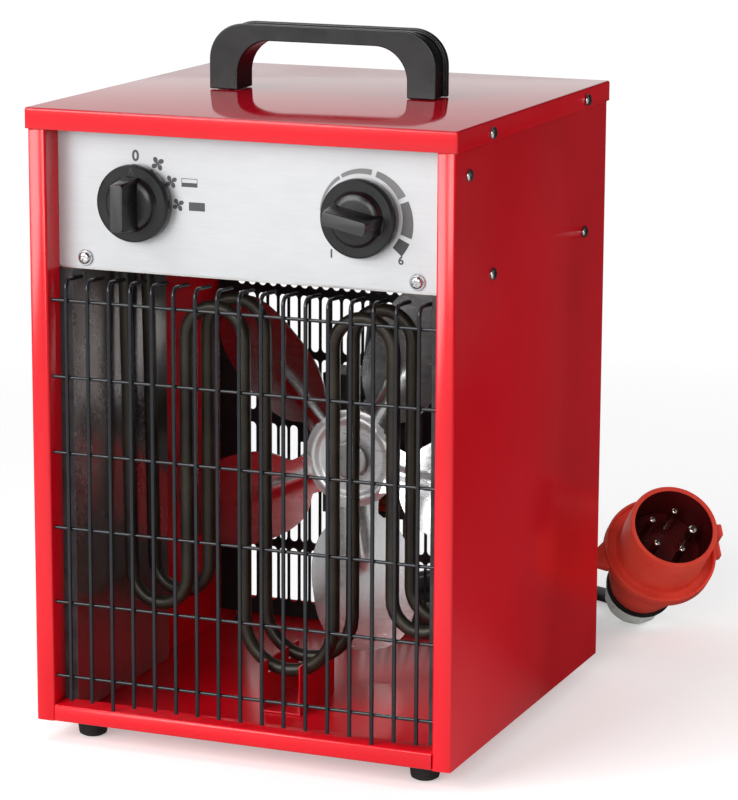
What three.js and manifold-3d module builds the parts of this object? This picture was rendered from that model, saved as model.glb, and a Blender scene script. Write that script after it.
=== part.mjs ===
// Box-shaped forced air heater on four rubber feet, with its cord and a five-pin plug.
// Millimetres, X to the right, Y to the back, Z up, the ground at z = 0.
import * as THREE from 'three';
import { mergeVertices } from 'three/addons/utils/BufferGeometryUtils.js';
import Module from 'manifold-3d';

// General
const gap = 0.3; // left between pieces that touch
const sheet = 1; // sheet steel of the case, the lid and the inner panels

// Lid and case
const lidWidth = 260;
const lidDepth = 260;
const lidTop = 371;
const lidFlange = 12;
const frontFlange = 11.2;
const frontReturn = 15.4;
const ledgeHeight = 10;
const rearFlange = 11;
const rearLip = 12;

// Feet
const footHeight = 13;
const footRadius = 8.8;
const footTipRadius = 6.2;
const footNeckRadius = 2.7;
const footBarbRadius = 3.6;
const footInset = 25.5; // from the lid's edge to a foot's axis

// Screws
const shankRadius = 1.6;
const screwHeadRadius = 3.6;
const screwHeadHeight = 2.2;
const screwLength = 9;
const washerRadius = 4.6;
const washerThickness = 0.8;
const coverScrewDrop = 7; // below the lid's top
const coverScrewFrontY = -77;
const coverScrewBackY = 86;
const shelfScrewFrontY = -71.3;
const shelfScrewBackY = 87.8;
const panelSideScrewHeight = 345;
const panelScrewInset = 29; // from the lid's edge to a panel screw
const panelScrewRise = 6; // above the shelf

// Control shelf and panel
const shelfHeight = 278;
const shelfFlange = 12;
const panelFlange = 14;
const panelLift = 1.5; // from the shelf's underside to the panel's lower edge

// Rear grille
const slotWidth = 5.5;
const slotLength = 36;
const slotMargin = 11.7; // beside the outermost slots
const slotPitchZ = 40.5;
const slotColumns = 32;
const slotRows = 3; // above and below the middle bar
const middleBar = 8.1;

// Front grille
const wireRadius = 1.2;
const crossWireRadius = 1;
const wireMargin = 10.3; // between the opening's edge and the first wire
const wireCount = 17;
const wireDrop = 4.5; // of the hooks below the shelf
const wireBend = 5;
const wireHook = 20;
const wireFoot = 26;
const longWireFoot = 20.5;
const crossWireCount = 6;
const crossWireLowest = 40;
const crossWireDrop = 12; // of the highest one below the hooks
const crossWireSet = 1.6; // between the axes of crossing wires

// Heat shields
const shieldInset = 7.5; // from the opening's edge
const shieldSheet = 0.8;
const shieldDepth = 123;
const shieldHoleRadius = 3;
const shieldHoleY = -23;
const shieldHoleDrop = 18;

// Heating elements
const elementRadius = 4;
const elementFrontY = -57;
const elementSpacing = 30;
const innerLegX = 28;
const legSpacing = 36; // between the outer and the middle legs
const shieldClearance = 9; // from a shield to an outer leg's axis
const terminalSplay = 3;
const archDrop = 27; // below the shelf
const innerBottom = 38;
const outerBottom = 70;
const terminalRise = 9; // tube above the shelf
const bushingRadius = 7;
const bushingHeight = 5.5;
const studRadius = 2;
const studLength = 11;

// Element bracket
const bracketHalfWidth = 12;
const bracketMargin = 11;
const bracketHeight = 30;

// Fan
const fanDrop = 1.15; // below the middle of the air path
const fanY = 39;
const fanInset = 10; // from the lid's edge to the tips' circle
const bladeCount = 5;
const bladeLength = 84;
const bladeHalfWidth = 31;
const bladePitch = 22; // degrees
const bladeSheet = 1;
const bladeStart = 60; // degrees from +X, seen from the front
const neckHalfWidth = 13;
const hubRadius = 30;
const hubRingRadius = 26;
const hubRingHeight = 2.5;
const sleeveRadius = 7;
const sleeveLength = 18;
const clipRadius = 11.5;
const clipCollarRadius = 5;
const clipCollarLength = 4.5;
const fanShaftRadius = 3;

// Motor and its bracket
const motorY = 72;
const coreWidth = 66;
const coreHeight = 88;
const coreDepth = 28;
const coilWidth = 42;
const coilHeight = 28;
const coilOverhang = 8;
const bearingWidth = 24;
const bearingHeight = 60;
const bearingDepth = 10;
const bearingRadius = 11;
const shaftSeat = 14; // of the fan shaft inside the motor
const motorBracketWidth = 120;
const motorBracketHeight = 28;
const motorBracketSheet = 1.5;
const motorBracketFoot = 12;

// Knobs and what they turn
const knobInset = 62; // from the lid's edge to a knob's axis
const knobDrop = 5.8; // below the middle of the panel
const knobRadius = 22;
const knobThickness = 6;
const knobStandOff = 2.2;
const knobBossRadius = 15.5;
const knobBossHeight = 4;
const gripReach = 27.5; // from the panel to the grip's front
const gripLength = 26.5;
const gripWidth = 7.9;
const gripFlare = 1.5;
const knobBore = 9;
const knobShaftRadius = 3;
const knobShaftSeat = 7;
const bushRadius = 4.5;
const bushReach = 1.5;
const thermostatRest = -78.4; // degrees, clockwise from straight up
const switchWidth = 32;
const switchHeight = 30;
const switchDepth = 30;
const tabWidth = 6.3;
const tabThickness = 0.8;
const tabLength = 8;
const thermostatRadius = 17;
const thermostatDepth = 18;

// On and under the shelf
const bulbRadius = 3;
const bulbLength = 70;
const bulbSet = 8; // in front of the rear grille
const capillaryRadius = 1;
const terminalWidth = 56;
const terminalDepth = 22;
const terminalHeight = 18;
const terminalY = 30;
const terminalBlockWays = 5;
const terminalScrewRadius = 2.4;
const terminalScrewDepth = 6;
const cutoutRadius = 8;
const cutoutHeight = 10;
const cutoutY = -30;

// Handle
const handleWidth = 142;
const handleHeight = 39;
const handleFrontY = -9.6;
const handleDepth = 21.6;
const handleLeg = 18;
const handleGrip = 9.4;
const handleCorner = 21;
const handleInnerCorner = 20;
const handleRim = 3.5;
const handleRecess = 2.5;
const handleScrewRadius = 2;
const handleScrewHead = 4.5;
const handleScrewReach = 15;

// Cable gland
const glandX = -45;
const glandRise = 34; // above the shelf
const glandRadius = 8;
const glandNutRadius = 12;
const glandNutLength = 6;
const reliefLength = 22.6;
const reliefRadius = 6.4;

// Cord
const cordRadius = 4.75;
const leadRoute = [
  [-45, 156.6, 313], [-45, 165.3, 313], [-45, 175.2, 311.7], [-45, 184.4, 307.9],
  [-45, 192.3, 301.9], [-45, 198.4, 294.1], [-45, 202.4, 284.9], [-45, 203.8, 275.1],
  [-45, 202.7, 265.2], [-45, 192.3, 223.5], [-45, 181.9, 181.9], [-45, 171.5, 140.3],
  [-45, 161.1, 98.6], [-45, 150.7, 57], [-45, 149.5, 46.2], [-45, 151.1, 35.4],
  [-45, 155.3, 25.4], [-45, 162, 16.9], [-45, 170.7, 10.3], [-45, 180.7, 6.2],
  [-45, 191.5, 4.8], [-45, 203.2, 4.8],
];
const tailRoute = [
  [-2.12, 268.45, 15], [1.51, 270.13, 15], [5.2, 271.9, 14.6], [12.5, 275.3, 12.7], [19.9, 278.7, 10.5],
  [27.2, 282.1, 8.2], [34.5, 285.5, 6.2], [41.9, 288.9, 5], [51.8, 292.1, 4.8],
  [62.2, 293, 4.8], [72.5, 291.5, 4.8], [82.2, 287.6, 4.8], [90.7, 281.7, 4.8],
  [97.7, 273.9, 4.8], [101.7, 268.2, 5.4], [105.5, 262.7, 7.2], [109.1, 257.5, 9.9],
  [111.11, 254.7, 12.18], [112.87, 252.19, 14.75],
];

// Coil of the cord behind the case: in on the floor, up a layer, and out again
const coilX = 11;
const coilY = 213;
const coilZ = 4.8;
const coilRadius = 56;
const coilPitch = 10.4; // from loop to loop
const coilLayer = 10.2; // from layer to layer
const coilInTurns = 1.35;
const coilClimbTurns = 0.5;
const coilTurns = 3.1856;
const coilStepsPerTurn = 24;

// Plug
const plugX = 113;
const plugY = 252;
const plugAzimuth = -54.97; // degrees, of the way that the mouth faces
const plugTilt = 40; // degrees, of the mouth above level
const plugNutRadius = 19.5;
const plugNutLength = 17;
const plugSealRadius = 22.5;
const plugSealThickness = 4;
const plugBodyLength = 42;
const plugBodyRear = 21;
const plugBodyFront = 33;
const collarRadius = 36.5;
const collarThickness = 11;
const collarWall = 2;
const collarRecess = 4;
const shroudRadius = 28.5;
const shroudWall = 3.2;
const shroudLength = 44; // from the body to the mouth
const insertThickness = 13;
const insertHole = 8;
const pinCircle = 14;
const pinRadius = 2.4;
const earthPinRadius = 3.3;
const pinCount = 5;
const pinSet = 4; // of the pins' tips behind the mouth
const lugReach = 11;
const lugWidth = 20;
const lugThickness = 7;
const smallLugReach = 4;
const smallLugWidth = 12;
const keyReach = 6;
const keyWidth = 8;
const keyLength = 12;
const keySet = 8; // behind the mouth

// Where the main faces lie
const caseHalfX = lidWidth / 2 - sheet - gap;
const caseHalfY = lidDepth / 2 - sheet - gap;
const insideX = caseHalfX - sheet;
const openingX = caseHalfX - frontFlange;
const floorTop = footHeight + sheet;
const caseTop = lidTop - sheet - gap;
const lidUnderside = lidTop - sheet;
const returnBackY = -caseHalfY + frontReturn;
const panelFrontY = returnBackY + gap;
const panelBackY = panelFrontY + sheet;
const shelfFrontY = panelBackY + gap;
const rearFaceY = caseHalfY - sheet - gap;
const rearInnerY = rearFaceY - sheet;
const shelfTop = shelfHeight + sheet;
const ledgeTop = footHeight + ledgeHeight;
const knobFrontY = panelFrontY - gripReach;
const knobX = lidWidth / 2 - knobInset;
const knobHeight = (shelfTop + lidUnderside) / 2 - knobDrop;
const panelScrewX = lidWidth / 2 - panelScrewInset;
const glandHeight = shelfTop + glandRise;
const slotPitchX = (2 * (insideX - slotMargin)) / slotColumns;
const wirePitch = (2 * (openingX - wireMargin)) / (wireCount - 1);
const wireTop = shelfHeight - wireDrop;
const crossWirePitch = (wireTop - crossWireDrop - crossWireLowest) / (crossWireCount - 1);
const shieldX = openingX - shieldInset;
const outerLegX = shieldX - shieldClearance;
const middleLegX = outerLegX - legSpacing;
const archTop = shelfHeight - archDrop;
const fanHeight = (floorTop + shelfHeight) / 2 - fanDrop;
const fanRadius = lidWidth / 2 - fanInset;
const shelfScrewHeight = shelfTop + panelScrewRise;

const wasm = await Module();
wasm.setup();

// A closed geometry as a solid with its faces out
function solidOf(geometry) {
  let source = geometry.index ? geometry.toNonIndexed() : geometry.clone();
  source.deleteAttribute('normal');
  source.deleteAttribute('uv');
  source = mergeVertices(source, 1e-4);
  const position = source.attributes.position;
  const index = source.index.array;
  const corners = [];
  let volume = 0;
  const a = new THREE.Vector3();
  const b = new THREE.Vector3();
  const c = new THREE.Vector3();
  for (let i = 0; i < index.length; i += 3) {
    const [p, q, r] = [index[i], index[i + 1], index[i + 2]];
    if (p === q || q === r || r === p) continue;
    corners.push(p, q, r);
    a.fromBufferAttribute(position, p);
    b.fromBufferAttribute(position, q);
    c.fromBufferAttribute(position, r);
    volume += a.dot(b.cross(c));
  }
  if (volume < 0) corners.reverse();
  return new wasm.Manifold(new wasm.Mesh({
    numProp: 3,
    vertProperties: new Float32Array(position.array),
    triVerts: new Uint32Array(corners),
  }));
}

function geometryOf(solid) {
  const mesh = solid.getMesh();
  const geometry = new THREE.BufferGeometry();
  geometry.setAttribute('position', new THREE.BufferAttribute(mesh.vertProperties, 3));
  geometry.setIndex(new THREE.BufferAttribute(mesh.triVerts, 1));
  geometry.computeVertexNormals();
  return geometry;
}

const join = (pieces) => pieces.reduce((whole, piece) => whole.add(piece));
const cut = (body, tools) => tools.reduce((left, tool) => left.subtract(tool), body);

// A block between two limits on each axis
function block(x0, x1, y0, y1, z0, z1) {
  const box = new THREE.BoxGeometry(Math.abs(x1 - x0), Math.abs(y1 - y0), Math.abs(z1 - z0));
  box.translate((x0 + x1) / 2, (y0 + y1) / 2, (z0 + z1) / 2);
  return solidOf(box);
}

// A round bar along one axis, from one end to the other, through a point across that axis
function bar(axis, radius, from, to, across, sides = 8) {
  const cylinder = new THREE.CylinderGeometry(radius, radius, Math.abs(to - from), sides);
  const middle = (from + to) / 2;
  if (axis === 'x') {
    cylinder.rotateZ(Math.PI / 2);
    cylinder.translate(middle, across[0], across[1]);
  } else if (axis === 'y') {
    cylinder.translate(across[0], middle, across[1]);
  } else {
    cylinder.rotateX(Math.PI / 2);
    cylinder.translate(across[0], across[1], middle);
  }
  return solidOf(cylinder);
}

// A turned piece about its Y axis from pairs of radius and position
function turned(profile, sides) {
  const points = profile.map(([radius, y]) => new THREE.Vector2(radius, y));
  return solidOf(new THREE.LatheGeometry(points, sides));
}

// A flat outline in X and Z, given a thickness from one Y to another
function plateXZ(shape, y0, y1, curveSegments = 6) {
  const plate = new THREE.ExtrudeGeometry(shape, { depth: y1 - y0, bevelEnabled: false, curveSegments });
  plate.rotateX(Math.PI / 2);
  plate.translate(0, y1, 0);
  return solidOf(plate);
}

function outline(points) {
  return new THREE.Shape(points.map(([x, y]) => new THREE.Vector2(x, y)));
}

// A path that passes through its points and turns at each of them
class Route extends THREE.Curve {
  constructor(points) {
    super();
    this.points = points;
  }

  getPoint(t, target = new THREE.Vector3()) {
    const last = this.points.length - 1;
    const place = Math.min(Math.max(t, 0), 1) * last;
    const step = Math.min(Math.floor(place), last - 1);
    return target.lerpVectors(this.points[step], this.points[step + 1], place - step);
  }

  getPointAt(u, target) {
    return this.getPoint(u, target);
  }

  getTangentAt(u, target = new THREE.Vector3()) {
    const last = this.points.length - 1;
    const near = Math.round(u * last);
    const before = this.points[Math.max(near - 1, 0)];
    const here = this.points[near];
    const after = this.points[Math.min(near + 1, last)];
    target.set(0, 0, 0);
    if (near > 0) target.add(here.clone().sub(before).normalize());
    if (near < last) target.add(after.clone().sub(here).normalize());
    return target.normalize();
  }
}

function tubeAlong(points, radius, sides) {
  const section = new THREE.Shape();
  for (let i = 0; i < sides; i += 1) {
    const angle = (2 * Math.PI * (i + 0.5)) / sides;
    const x = radius * Math.cos(angle);
    const y = radius * Math.sin(angle);
    if (i === 0) section.moveTo(x, y);
    else section.lineTo(x, y);
  }
  return solidOf(new THREE.ExtrudeGeometry(section, {
    steps: points.length - 1,
    bevelEnabled: false,
    extrudePath: new Route(points),
  }));
}

const vector = ([x, y, z]) => new THREE.Vector3(x, y, z);

const heater = new THREE.Group();

function addPart(name, solid, look, parent = heater) {
  const [color, roughness, metalness] = look;
  const material = new THREE.MeshStandardMaterial({ color, roughness, metalness });
  const mesh = new THREE.Mesh(geometryOf(solid), material);
  mesh.name = name;
  parent.add(mesh);
  return mesh;
}

const redPaint = [0xd8101e, 0.22, 0.1];
const darkRedPaint = [0xa00c18, 0.3, 0.1];
const blackPaint = [0x101012, 0.5, 0.2];
const galvanised = [0x8b8a86, 0.45, 0.8];
const brushedPlate = [0xd4d6d8, 0.35, 0.7];
const blackPlastic = [0x17181a, 0.55, 0];
const chrome = [0xe4e4e6, 0.15, 1];
const darkWire = [0x2a2f35, 0.4, 0.5];
const elementSteel = [0x4a4336, 0.45, 0.7];
const aluminium = [0xcfd1d4, 0.22, 0.9];
const blackRubber = [0x0d0d0e, 0.8, 0];
const motorSteel = [0x2b2b2e, 0.5, 0.6];
const whitePlastic = [0xd9d6cc, 0.5, 0];
const copper = [0xb4713d, 0.35, 0.9];
const cordRubber = [0x2c2f2e, 0.6, 0];
const plugRed = [0xdd3a30, 0.35, 0];
const plugDark = [0x4a1216, 0.5, 0];
const brass = [0xd2cfae, 0.2, 0.9];
const paleNut = [0xd9e6dc, 0.35, 0];

// Places of the side screws, as Y and Z
const coverScrews = [
  [coverScrewBackY, lidTop - coverScrewDrop],
  [coverScrewFrontY, lidTop - coverScrewDrop],
];
const panelSideScrew = [panelBackY + 1.7, panelSideScrewHeight];
const shelfScrews = [
  [shelfScrewBackY, shelfScrewHeight],
  [shelfScrewFrontY, shelfScrewHeight],
];
const caseScrews = [panelSideScrew, ...shelfScrews];
const screwHole = shankRadius + gap;

function sideHoles(side, places) {
  const from = side * (insideX - 3);
  const to = side * (lidWidth / 2 + 3);
  return places.map((place) => bar('x', screwHole, from, to, place, 6));
}

const footPlaces = [];
for (const sideY of [-1, 1]) {
  for (const sideX of [-1, 1]) {
    footPlaces.push([sideX * (lidWidth / 2 - footInset), sideY * (lidDepth / 2 - footInset)]);
  }
}

const wirePlaces = [];
for (let i = 0; i < wireCount; i += 1) {
  wirePlaces.push((i - (wireCount - 1) / 2) * wirePitch);
}
const isLongWire = (i) => i === 2 || i === wireCount - 3;
const wireY = -caseHalfY + sheet + gap + wireRadius;

// Case: one folded sheet, with a floor, two sides, and folded edges front and back
function makeCase() {
  const plates = [
    block(-caseHalfX, caseHalfX, -caseHalfY, caseHalfY, footHeight, floorTop),
    block(-openingX + gap, openingX - gap, -caseHalfY, -caseHalfY + sheet, footHeight, ledgeTop),
    block(-openingX + gap, openingX - gap, -caseHalfY, returnBackY, ledgeTop - sheet, ledgeTop),
    block(-caseHalfX, caseHalfX, caseHalfY - sheet, caseHalfY, footHeight, footHeight + rearLip),
  ];
  for (const side of [-1, 1]) {
    const outer = side * caseHalfX;
    const opening = side * openingX;
    const rearEdge = side * (caseHalfX - rearFlange);
    plates.push(block(outer, side * insideX, -caseHalfY, caseHalfY, footHeight, caseTop));
    plates.push(block(outer, opening, -caseHalfY, -caseHalfY + sheet, footHeight, caseTop));
    plates.push(block(opening, opening + side * sheet, -caseHalfY, returnBackY, footHeight, caseTop));
    plates.push(block(outer, rearEdge, caseHalfY - sheet, caseHalfY, footHeight, caseTop));
  }
  const holes = footPlaces.map((place) => {
    return bar('z', footNeckRadius + gap, footHeight - 1, floorTop + 1, place, 8);
  });
  wirePlaces.forEach((x, i) => {
    if (!isLongWire(i)) return;
    holes.push(bar('z', wireRadius + gap, ledgeTop - 2 * sheet, ledgeTop + 1, [x, wireY], 8));
  });
  for (const side of [-1, 1]) holes.push(...sideHoles(side, [...coverScrews, ...caseScrews]));
  return cut(join(plates), holes);
}
addPart('case_shell', makeCase(), redPaint);

// Lid: a shallow tray over the top edges of the case
const handleMiddleY = handleFrontY + handleDepth / 2;
const handleLegX = handleWidth / 2 - handleLeg / 2;

function makeLid() {
  const halfX = lidWidth / 2;
  const halfY = lidDepth / 2;
  const outside = block(-halfX, halfX, -halfY, halfY, lidTop - lidFlange, lidTop);
  const below = lidTop - lidFlange - 1;
  const inside = block(-halfX + sheet, halfX - sheet, -halfY + sheet, halfY - sheet, below, lidUnderside);
  const holes = [inside];
  for (const side of [-1, 1]) {
    holes.push(...sideHoles(side, coverScrews));
    const place = [side * handleLegX, handleMiddleY];
    holes.push(bar('z', handleScrewRadius + gap, lidUnderside - 1, lidTop + 1, place, 8));
  }
  return cut(outside, holes);
}
addPart('top_cover', makeLid(), redPaint);

// Rear panel: rows of upright slots, and a round hole for the cable gland
function makeRearGrille() {
  const halfX = insideX - gap;
  const plate = block(-halfX, halfX, rearInnerY, rearFaceY, floorTop + gap, lidUnderside - 2 * gap);
  const front = rearInnerY - 1;
  const back = rearFaceY + 1;
  const holes = [bar('y', glandRadius + gap, front, back, [glandX, glandHeight], 16)];
  for (let row = 0; row < 2 * slotRows; row += 1) {
    const upper = row >= slotRows ? 1 : -1;
    const step = upper > 0 ? row - slotRows : slotRows - 1 - row;
    const z = fanHeight + upper * (middleBar / 2 + slotLength / 2 + step * slotPitchZ);
    for (let column = 0; column < slotColumns; column += 1) {
      const x = (column - (slotColumns - 1) / 2) * slotPitchX;
      const left = x - slotWidth / 2;
      holes.push(block(left, left + slotWidth, front, back, z - slotLength / 2, z + slotLength / 2));
    }
  }
  return cut(plate, holes);
}
addPart('rear_grille', makeRearGrille(), blackPaint);

// Shelf under the controls, with folded edges that the screws hold
function makeShelf() {
  const halfX = insideX - gap;
  const back = rearInnerY - gap;
  const top = shelfHeight + shelfFlange;
  const plates = [block(-halfX, halfX, shelfFrontY, back, shelfHeight, shelfTop)];
  plates.push(block(-halfX + 2, halfX - 2, shelfFrontY, shelfFrontY + sheet, shelfHeight, top));
  const holes = [];
  for (const side of [-1, 1]) {
    const inner = side * (halfX - sheet);
    plates.push(block(side * halfX, inner, shelfFrontY + 2, back, shelfHeight, top));
    holes.push(...sideHoles(side, shelfScrews));
    const panelPlace = [side * panelScrewX, shelfScrewHeight];
    holes.push(bar('y', screwHole, shelfFrontY - 1, shelfFrontY + sheet + 1, panelPlace, 6));
    for (const y of [elementFrontY, elementFrontY + elementSpacing]) {
      const place = [side * (outerLegX + terminalSplay), y];
      holes.push(bar('z', elementRadius + gap, shelfHeight - 1, shelfTop + 1, place, 16));
    }
  }
  const capillaryPlace = [knobX, rearInnerY - bulbSet];
  holes.push(bar('z', 2 * capillaryRadius, shelfHeight - 1, shelfTop + 1, capillaryPlace, 6));
  return cut(join(plates), holes);
}
addPart('control_shelf', makeShelf(), galvanised);

// Control panel behind the case's front edges
const panelLow = shelfHeight + panelLift;

function makePanel() {
  const halfX = insideX - gap;
  const high = lidUnderside - 2 * gap;
  const plates = [block(-halfX, halfX, panelFrontY, panelBackY, panelLow, high)];
  const holes = [];
  for (const side of [-1, 1]) {
    const flangeLow = shelfHeight + shelfFlange + 2;
    const inner = side * (halfX - sheet);
    plates.push(block(side * halfX, inner, panelFrontY, panelBackY + panelFlange, flangeLow, high));
    const from = side * (halfX - 3);
    holes.push(bar('x', screwHole, from, side * (halfX + 1), panelSideScrew, 6));
    const screwPlace = [side * panelScrewX, shelfScrewHeight];
    holes.push(bar('y', screwHole, panelFrontY - 1, panelBackY + 1, screwPlace, 6));
    const knobPlace = [side * knobX, knobHeight];
    holes.push(bar('y', bushRadius + gap, panelFrontY - 1, panelBackY + 1, knobPlace, 12));
  }
  return cut(join(plates), holes);
}
addPart('control_panel', makePanel(), brushedPlate);

// Heat shields beside the air path
function makeShield(side) {
  const inner = side * (shieldX - shieldSheet / 2);
  const outer = side * (shieldX + shieldSheet / 2);
  const wall = side * (insideX - gap);
  const low = floorTop + gap;
  const high = shelfHeight - gap;
  const back = panelFrontY + shieldDepth;
  const plates = [
    block(inner, outer, panelFrontY, back, low, high),
    block(inner, wall, panelFrontY, panelFrontY + shieldSheet, low, high),
    block(inner, wall, panelFrontY, back, low, low + shieldSheet),
  ];
  const place = [shieldHoleY, high - shieldHoleDrop];
  const hole = bar('x', shieldHoleRadius, inner - side * 2, outer + side * 2, place, 8);
  const footClear = [side * footPlaces[1][0], footPlaces[0][1]];
  const footHole = bar('z', footBarbRadius + gap, low - 1, low + shieldSheet + 1, footClear, 8);
  return cut(join(plates), [hole, footHole]);
}
addPart('heat_shield_left', makeShield(-1), galvanised);
addPart('heat_shield_right', makeShield(1), galvanised);

// Front grille: upright wires hooked back at the top, welded to cross wires
function makeFrontGrille() {
  const wires = wirePlaces.map((x, i) => {
    const foot = isLongWire(i) ? longWireFoot : wireFoot;
    const points = [[x, wireY, foot]];
    for (const turn of [0, 45, 90]) {
      const angle = (turn * Math.PI) / 180;
      points.push([
        x,
        wireY + wireBend * (1 - Math.cos(angle)),
        wireTop - wireBend + wireBend * Math.sin(angle),
      ]);
    }
    points.push([x, wireY + wireHook, wireTop - 1]);
    return tubeAlong(points.map(vector), wireRadius, 4);
  });
  const reach = openingX - gap;
  for (let row = 0; row < crossWireCount; row += 1) {
    const z = crossWireLowest + row * crossWirePitch;
    wires.push(bar('x', crossWireRadius, -reach, reach, [wireY + crossWireSet, z], 4));
  }
  return join(wires);
}
addPart('front_grille', makeFrontGrille(), darkWire);

// Heating elements: one tube each, bent into three U's and two arches
function elementPath() {
  const points = [];
  const arc = (x, z, radius, from, to) => {
    const steps = 6;
    for (let i = 0; i <= steps; i += 1) {
      const angle = ((from + ((to - from) * i) / steps) * Math.PI) / 180;
      points.push([x + radius * Math.cos(angle), 0, z + radius * Math.sin(angle)]);
    }
  };
  const outerRadius = (outerLegX - middleLegX) / 2;
  const archRadius = (middleLegX - innerLegX) / 2;
  const outerMiddle = (outerLegX + middleLegX) / 2;
  const archMiddle = (middleLegX + innerLegX) / 2;
  const terminalTop = shelfTop + terminalRise;
  points.push([-outerLegX - terminalSplay, 0, terminalTop]);
  points.push([-outerLegX - terminalSplay, 0, shelfHeight - 8]);
  arc(-outerMiddle, outerBottom + outerRadius, outerRadius, 180, 360);
  arc(-archMiddle, archTop - archRadius, archRadius, 180, 0);
  arc(0, innerBottom + innerLegX, innerLegX, 180, 360);
  arc(archMiddle, archTop - archRadius, archRadius, 180, 0);
  arc(outerMiddle, outerBottom + outerRadius, outerRadius, 180, 360);
  points.push([outerLegX + terminalSplay, 0, shelfHeight - 8]);
  points.push([outerLegX + terminalSplay, 0, terminalTop]);
  return points;
}

function makeElement() {
  const pieces = [tubeAlong(elementPath().map(vector), elementRadius, 8)];
  const seat = shelfTop + gap;
  const tubeEnd = shelfTop + terminalRise;
  for (const side of [-1, 1]) {
    const place = [side * (outerLegX + terminalSplay), 0];
    pieces.push(bar('z', bushingRadius, seat, seat + bushingHeight, place, 8));
    pieces.push(bar('z', studRadius, tubeEnd - 1, tubeEnd + studLength, place, 6));
  }
  return join(pieces);
}
const elementShape = makeElement();
addPart('heating_element_front', elementShape, elementSteel).position.y = elementFrontY;
addPart('heating_element_rear', elementShape, elementSteel).position.y = elementFrontY + elementSpacing;

// Bracket on the floor that carries the middle U of both elements
function makeElementBracket() {
  const front = elementFrontY - bracketMargin;
  const back = elementFrontY + elementSpacing + bracketMargin;
  const low = floorTop + gap;
  const plates = [block(-bracketHalfWidth, bracketHalfWidth, front, back, low, low + sheet)];
  for (const side of [-1, 1]) {
    const outer = side * bracketHalfWidth;
    plates.push(block(outer, outer - side * sheet, front, back, low, low + bracketHeight));
  }
  const reach = bracketHalfWidth;
  const rise = Math.sqrt(innerLegX * innerLegX - reach * reach);
  const steepness = innerLegX / rise;
  const seat = innerBottom + innerLegX - rise - elementRadius * steepness - gap;
  const half = elementRadius + gap;
  const notches = [elementFrontY, elementFrontY + elementSpacing].map((y) => {
    return block(-reach - 1, reach + 1, y - half, y + half, seat, low + bracketHeight + 1);
  });
  return cut(join(plates), notches);
}
addPart('element_bracket', makeElementBracket(), darkRedPaint);

// Fan
const fan = new THREE.Group();
fan.position.set(0, fanY, fanHeight);
heater.add(fan);
const fanBore = fanShaftRadius + gap;

function makeBlade() {
  const middle = fanRadius - bladeLength / 2;
  const points = [];
  const steps = 26;
  for (let i = 0; i < steps; i += 1) {
    const angle = (2 * Math.PI * i) / steps;
    const along = Math.sign(Math.cos(angle)) * Math.abs(Math.cos(angle)) ** 0.8;
    const across = Math.sign(Math.sin(angle)) * Math.abs(Math.sin(angle)) ** 0.8;
    points.push([middle + (bladeLength / 2) * along, bladeHalfWidth * across]);
  }
  const lobe = plateXZ(outline(points), -bladeSheet / 2, bladeSheet / 2);
  const neck = block(hubRingRadius - 4, middle, -bladeSheet / 2, bladeSheet / 2, -neckHalfWidth, neckHalfWidth);
  return lobe.add(neck).rotate([-bladePitch, 0, 0]);
}

function makeRotor() {
  const half = bladeSheet / 2;
  const crest = -half - hubRingHeight;
  const hub = turned([
    [fanBore, -half], [hubRingRadius - 5, -half], [hubRingRadius - 2, crest], [hubRingRadius, crest],
    [hubRingRadius + 2, -half], [hubRadius, -half], [hubRadius, half], [sleeveRadius, half],
    [sleeveRadius, half + sleeveLength], [fanBore, half + sleeveLength], [fanBore, -half],
  ], 20);
  const blade = makeBlade();
  const pieces = [hub];
  for (let i = 0; i < bladeCount; i += 1) {
    pieces.push(blade.rotate([0, -bladeStart - (360 * i) / bladeCount, 0]));
  }
  return join(pieces);
}
addPart('fan_rotor', makeRotor(), aluminium, fan);

const clipBack = -bladeSheet / 2 - gap;
const clipFace = clipBack - clipCollarLength;

function makeClip() {
  const cap = turned([
    [0, clipFace - sheet], [clipRadius, clipFace - sheet], [clipRadius, clipFace],
    [clipCollarRadius, clipFace], [clipCollarRadius, clipBack], [fanBore, clipBack],
    [fanBore, clipFace], [0, clipFace],
  ], 16);
  const tab = block(-1.5, 1.5, clipFace - sheet, clipFace, clipRadius - 1, clipRadius + 3);
  return cap.add(tab);
}
addPart('fan_clip', makeClip(), galvanised, fan);

const bearingFrontY = motorY - bearingDepth;
const shaftEnd = bearingFrontY - fanY + shaftSeat;
const shaftBar = bar('y', fanShaftRadius, clipFace + gap, shaftEnd, [0, 0], 12);
addPart('motor_shaft', shaftBar, chrome, fan);

// Motor: laminated core, winding below, a bearing bridge in front and behind
function makeMotor() {
  const coreBack = motorY + coreDepth;
  const centre = fanHeight;
  const halfW = coreWidth / 2;
  const halfH = coreHeight / 2;
  const halfCoil = coilWidth / 2;
  const coilTop = centre - halfH + coilHeight + 5;
  const coilLow = centre - halfH + 5;
  const halfB = bearingWidth / 2;
  const halfBH = bearingHeight / 2;
  const bearingBack = coreBack + bearingDepth;
  const pieces = [
    block(-halfW, halfW, motorY, coreBack, centre - halfH, centre + halfH),
    block(-halfCoil, halfCoil, motorY - coilOverhang, coreBack + coilOverhang, coilLow, coilTop),
    block(-halfB, halfB, bearingFrontY + 2, bearingBack, centre - halfBH, centre + halfBH),
    bar('y', bearingRadius, bearingFrontY, motorY, [0, centre], 16),
  ];
  const boreEnd = bearingFrontY + shaftSeat + 1;
  return cut(join(pieces), [bar('y', fanBore, bearingFrontY - 1, boreEnd, [0, centre], 12)]);
}
addPart('motor', makeMotor(), motorSteel);

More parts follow.
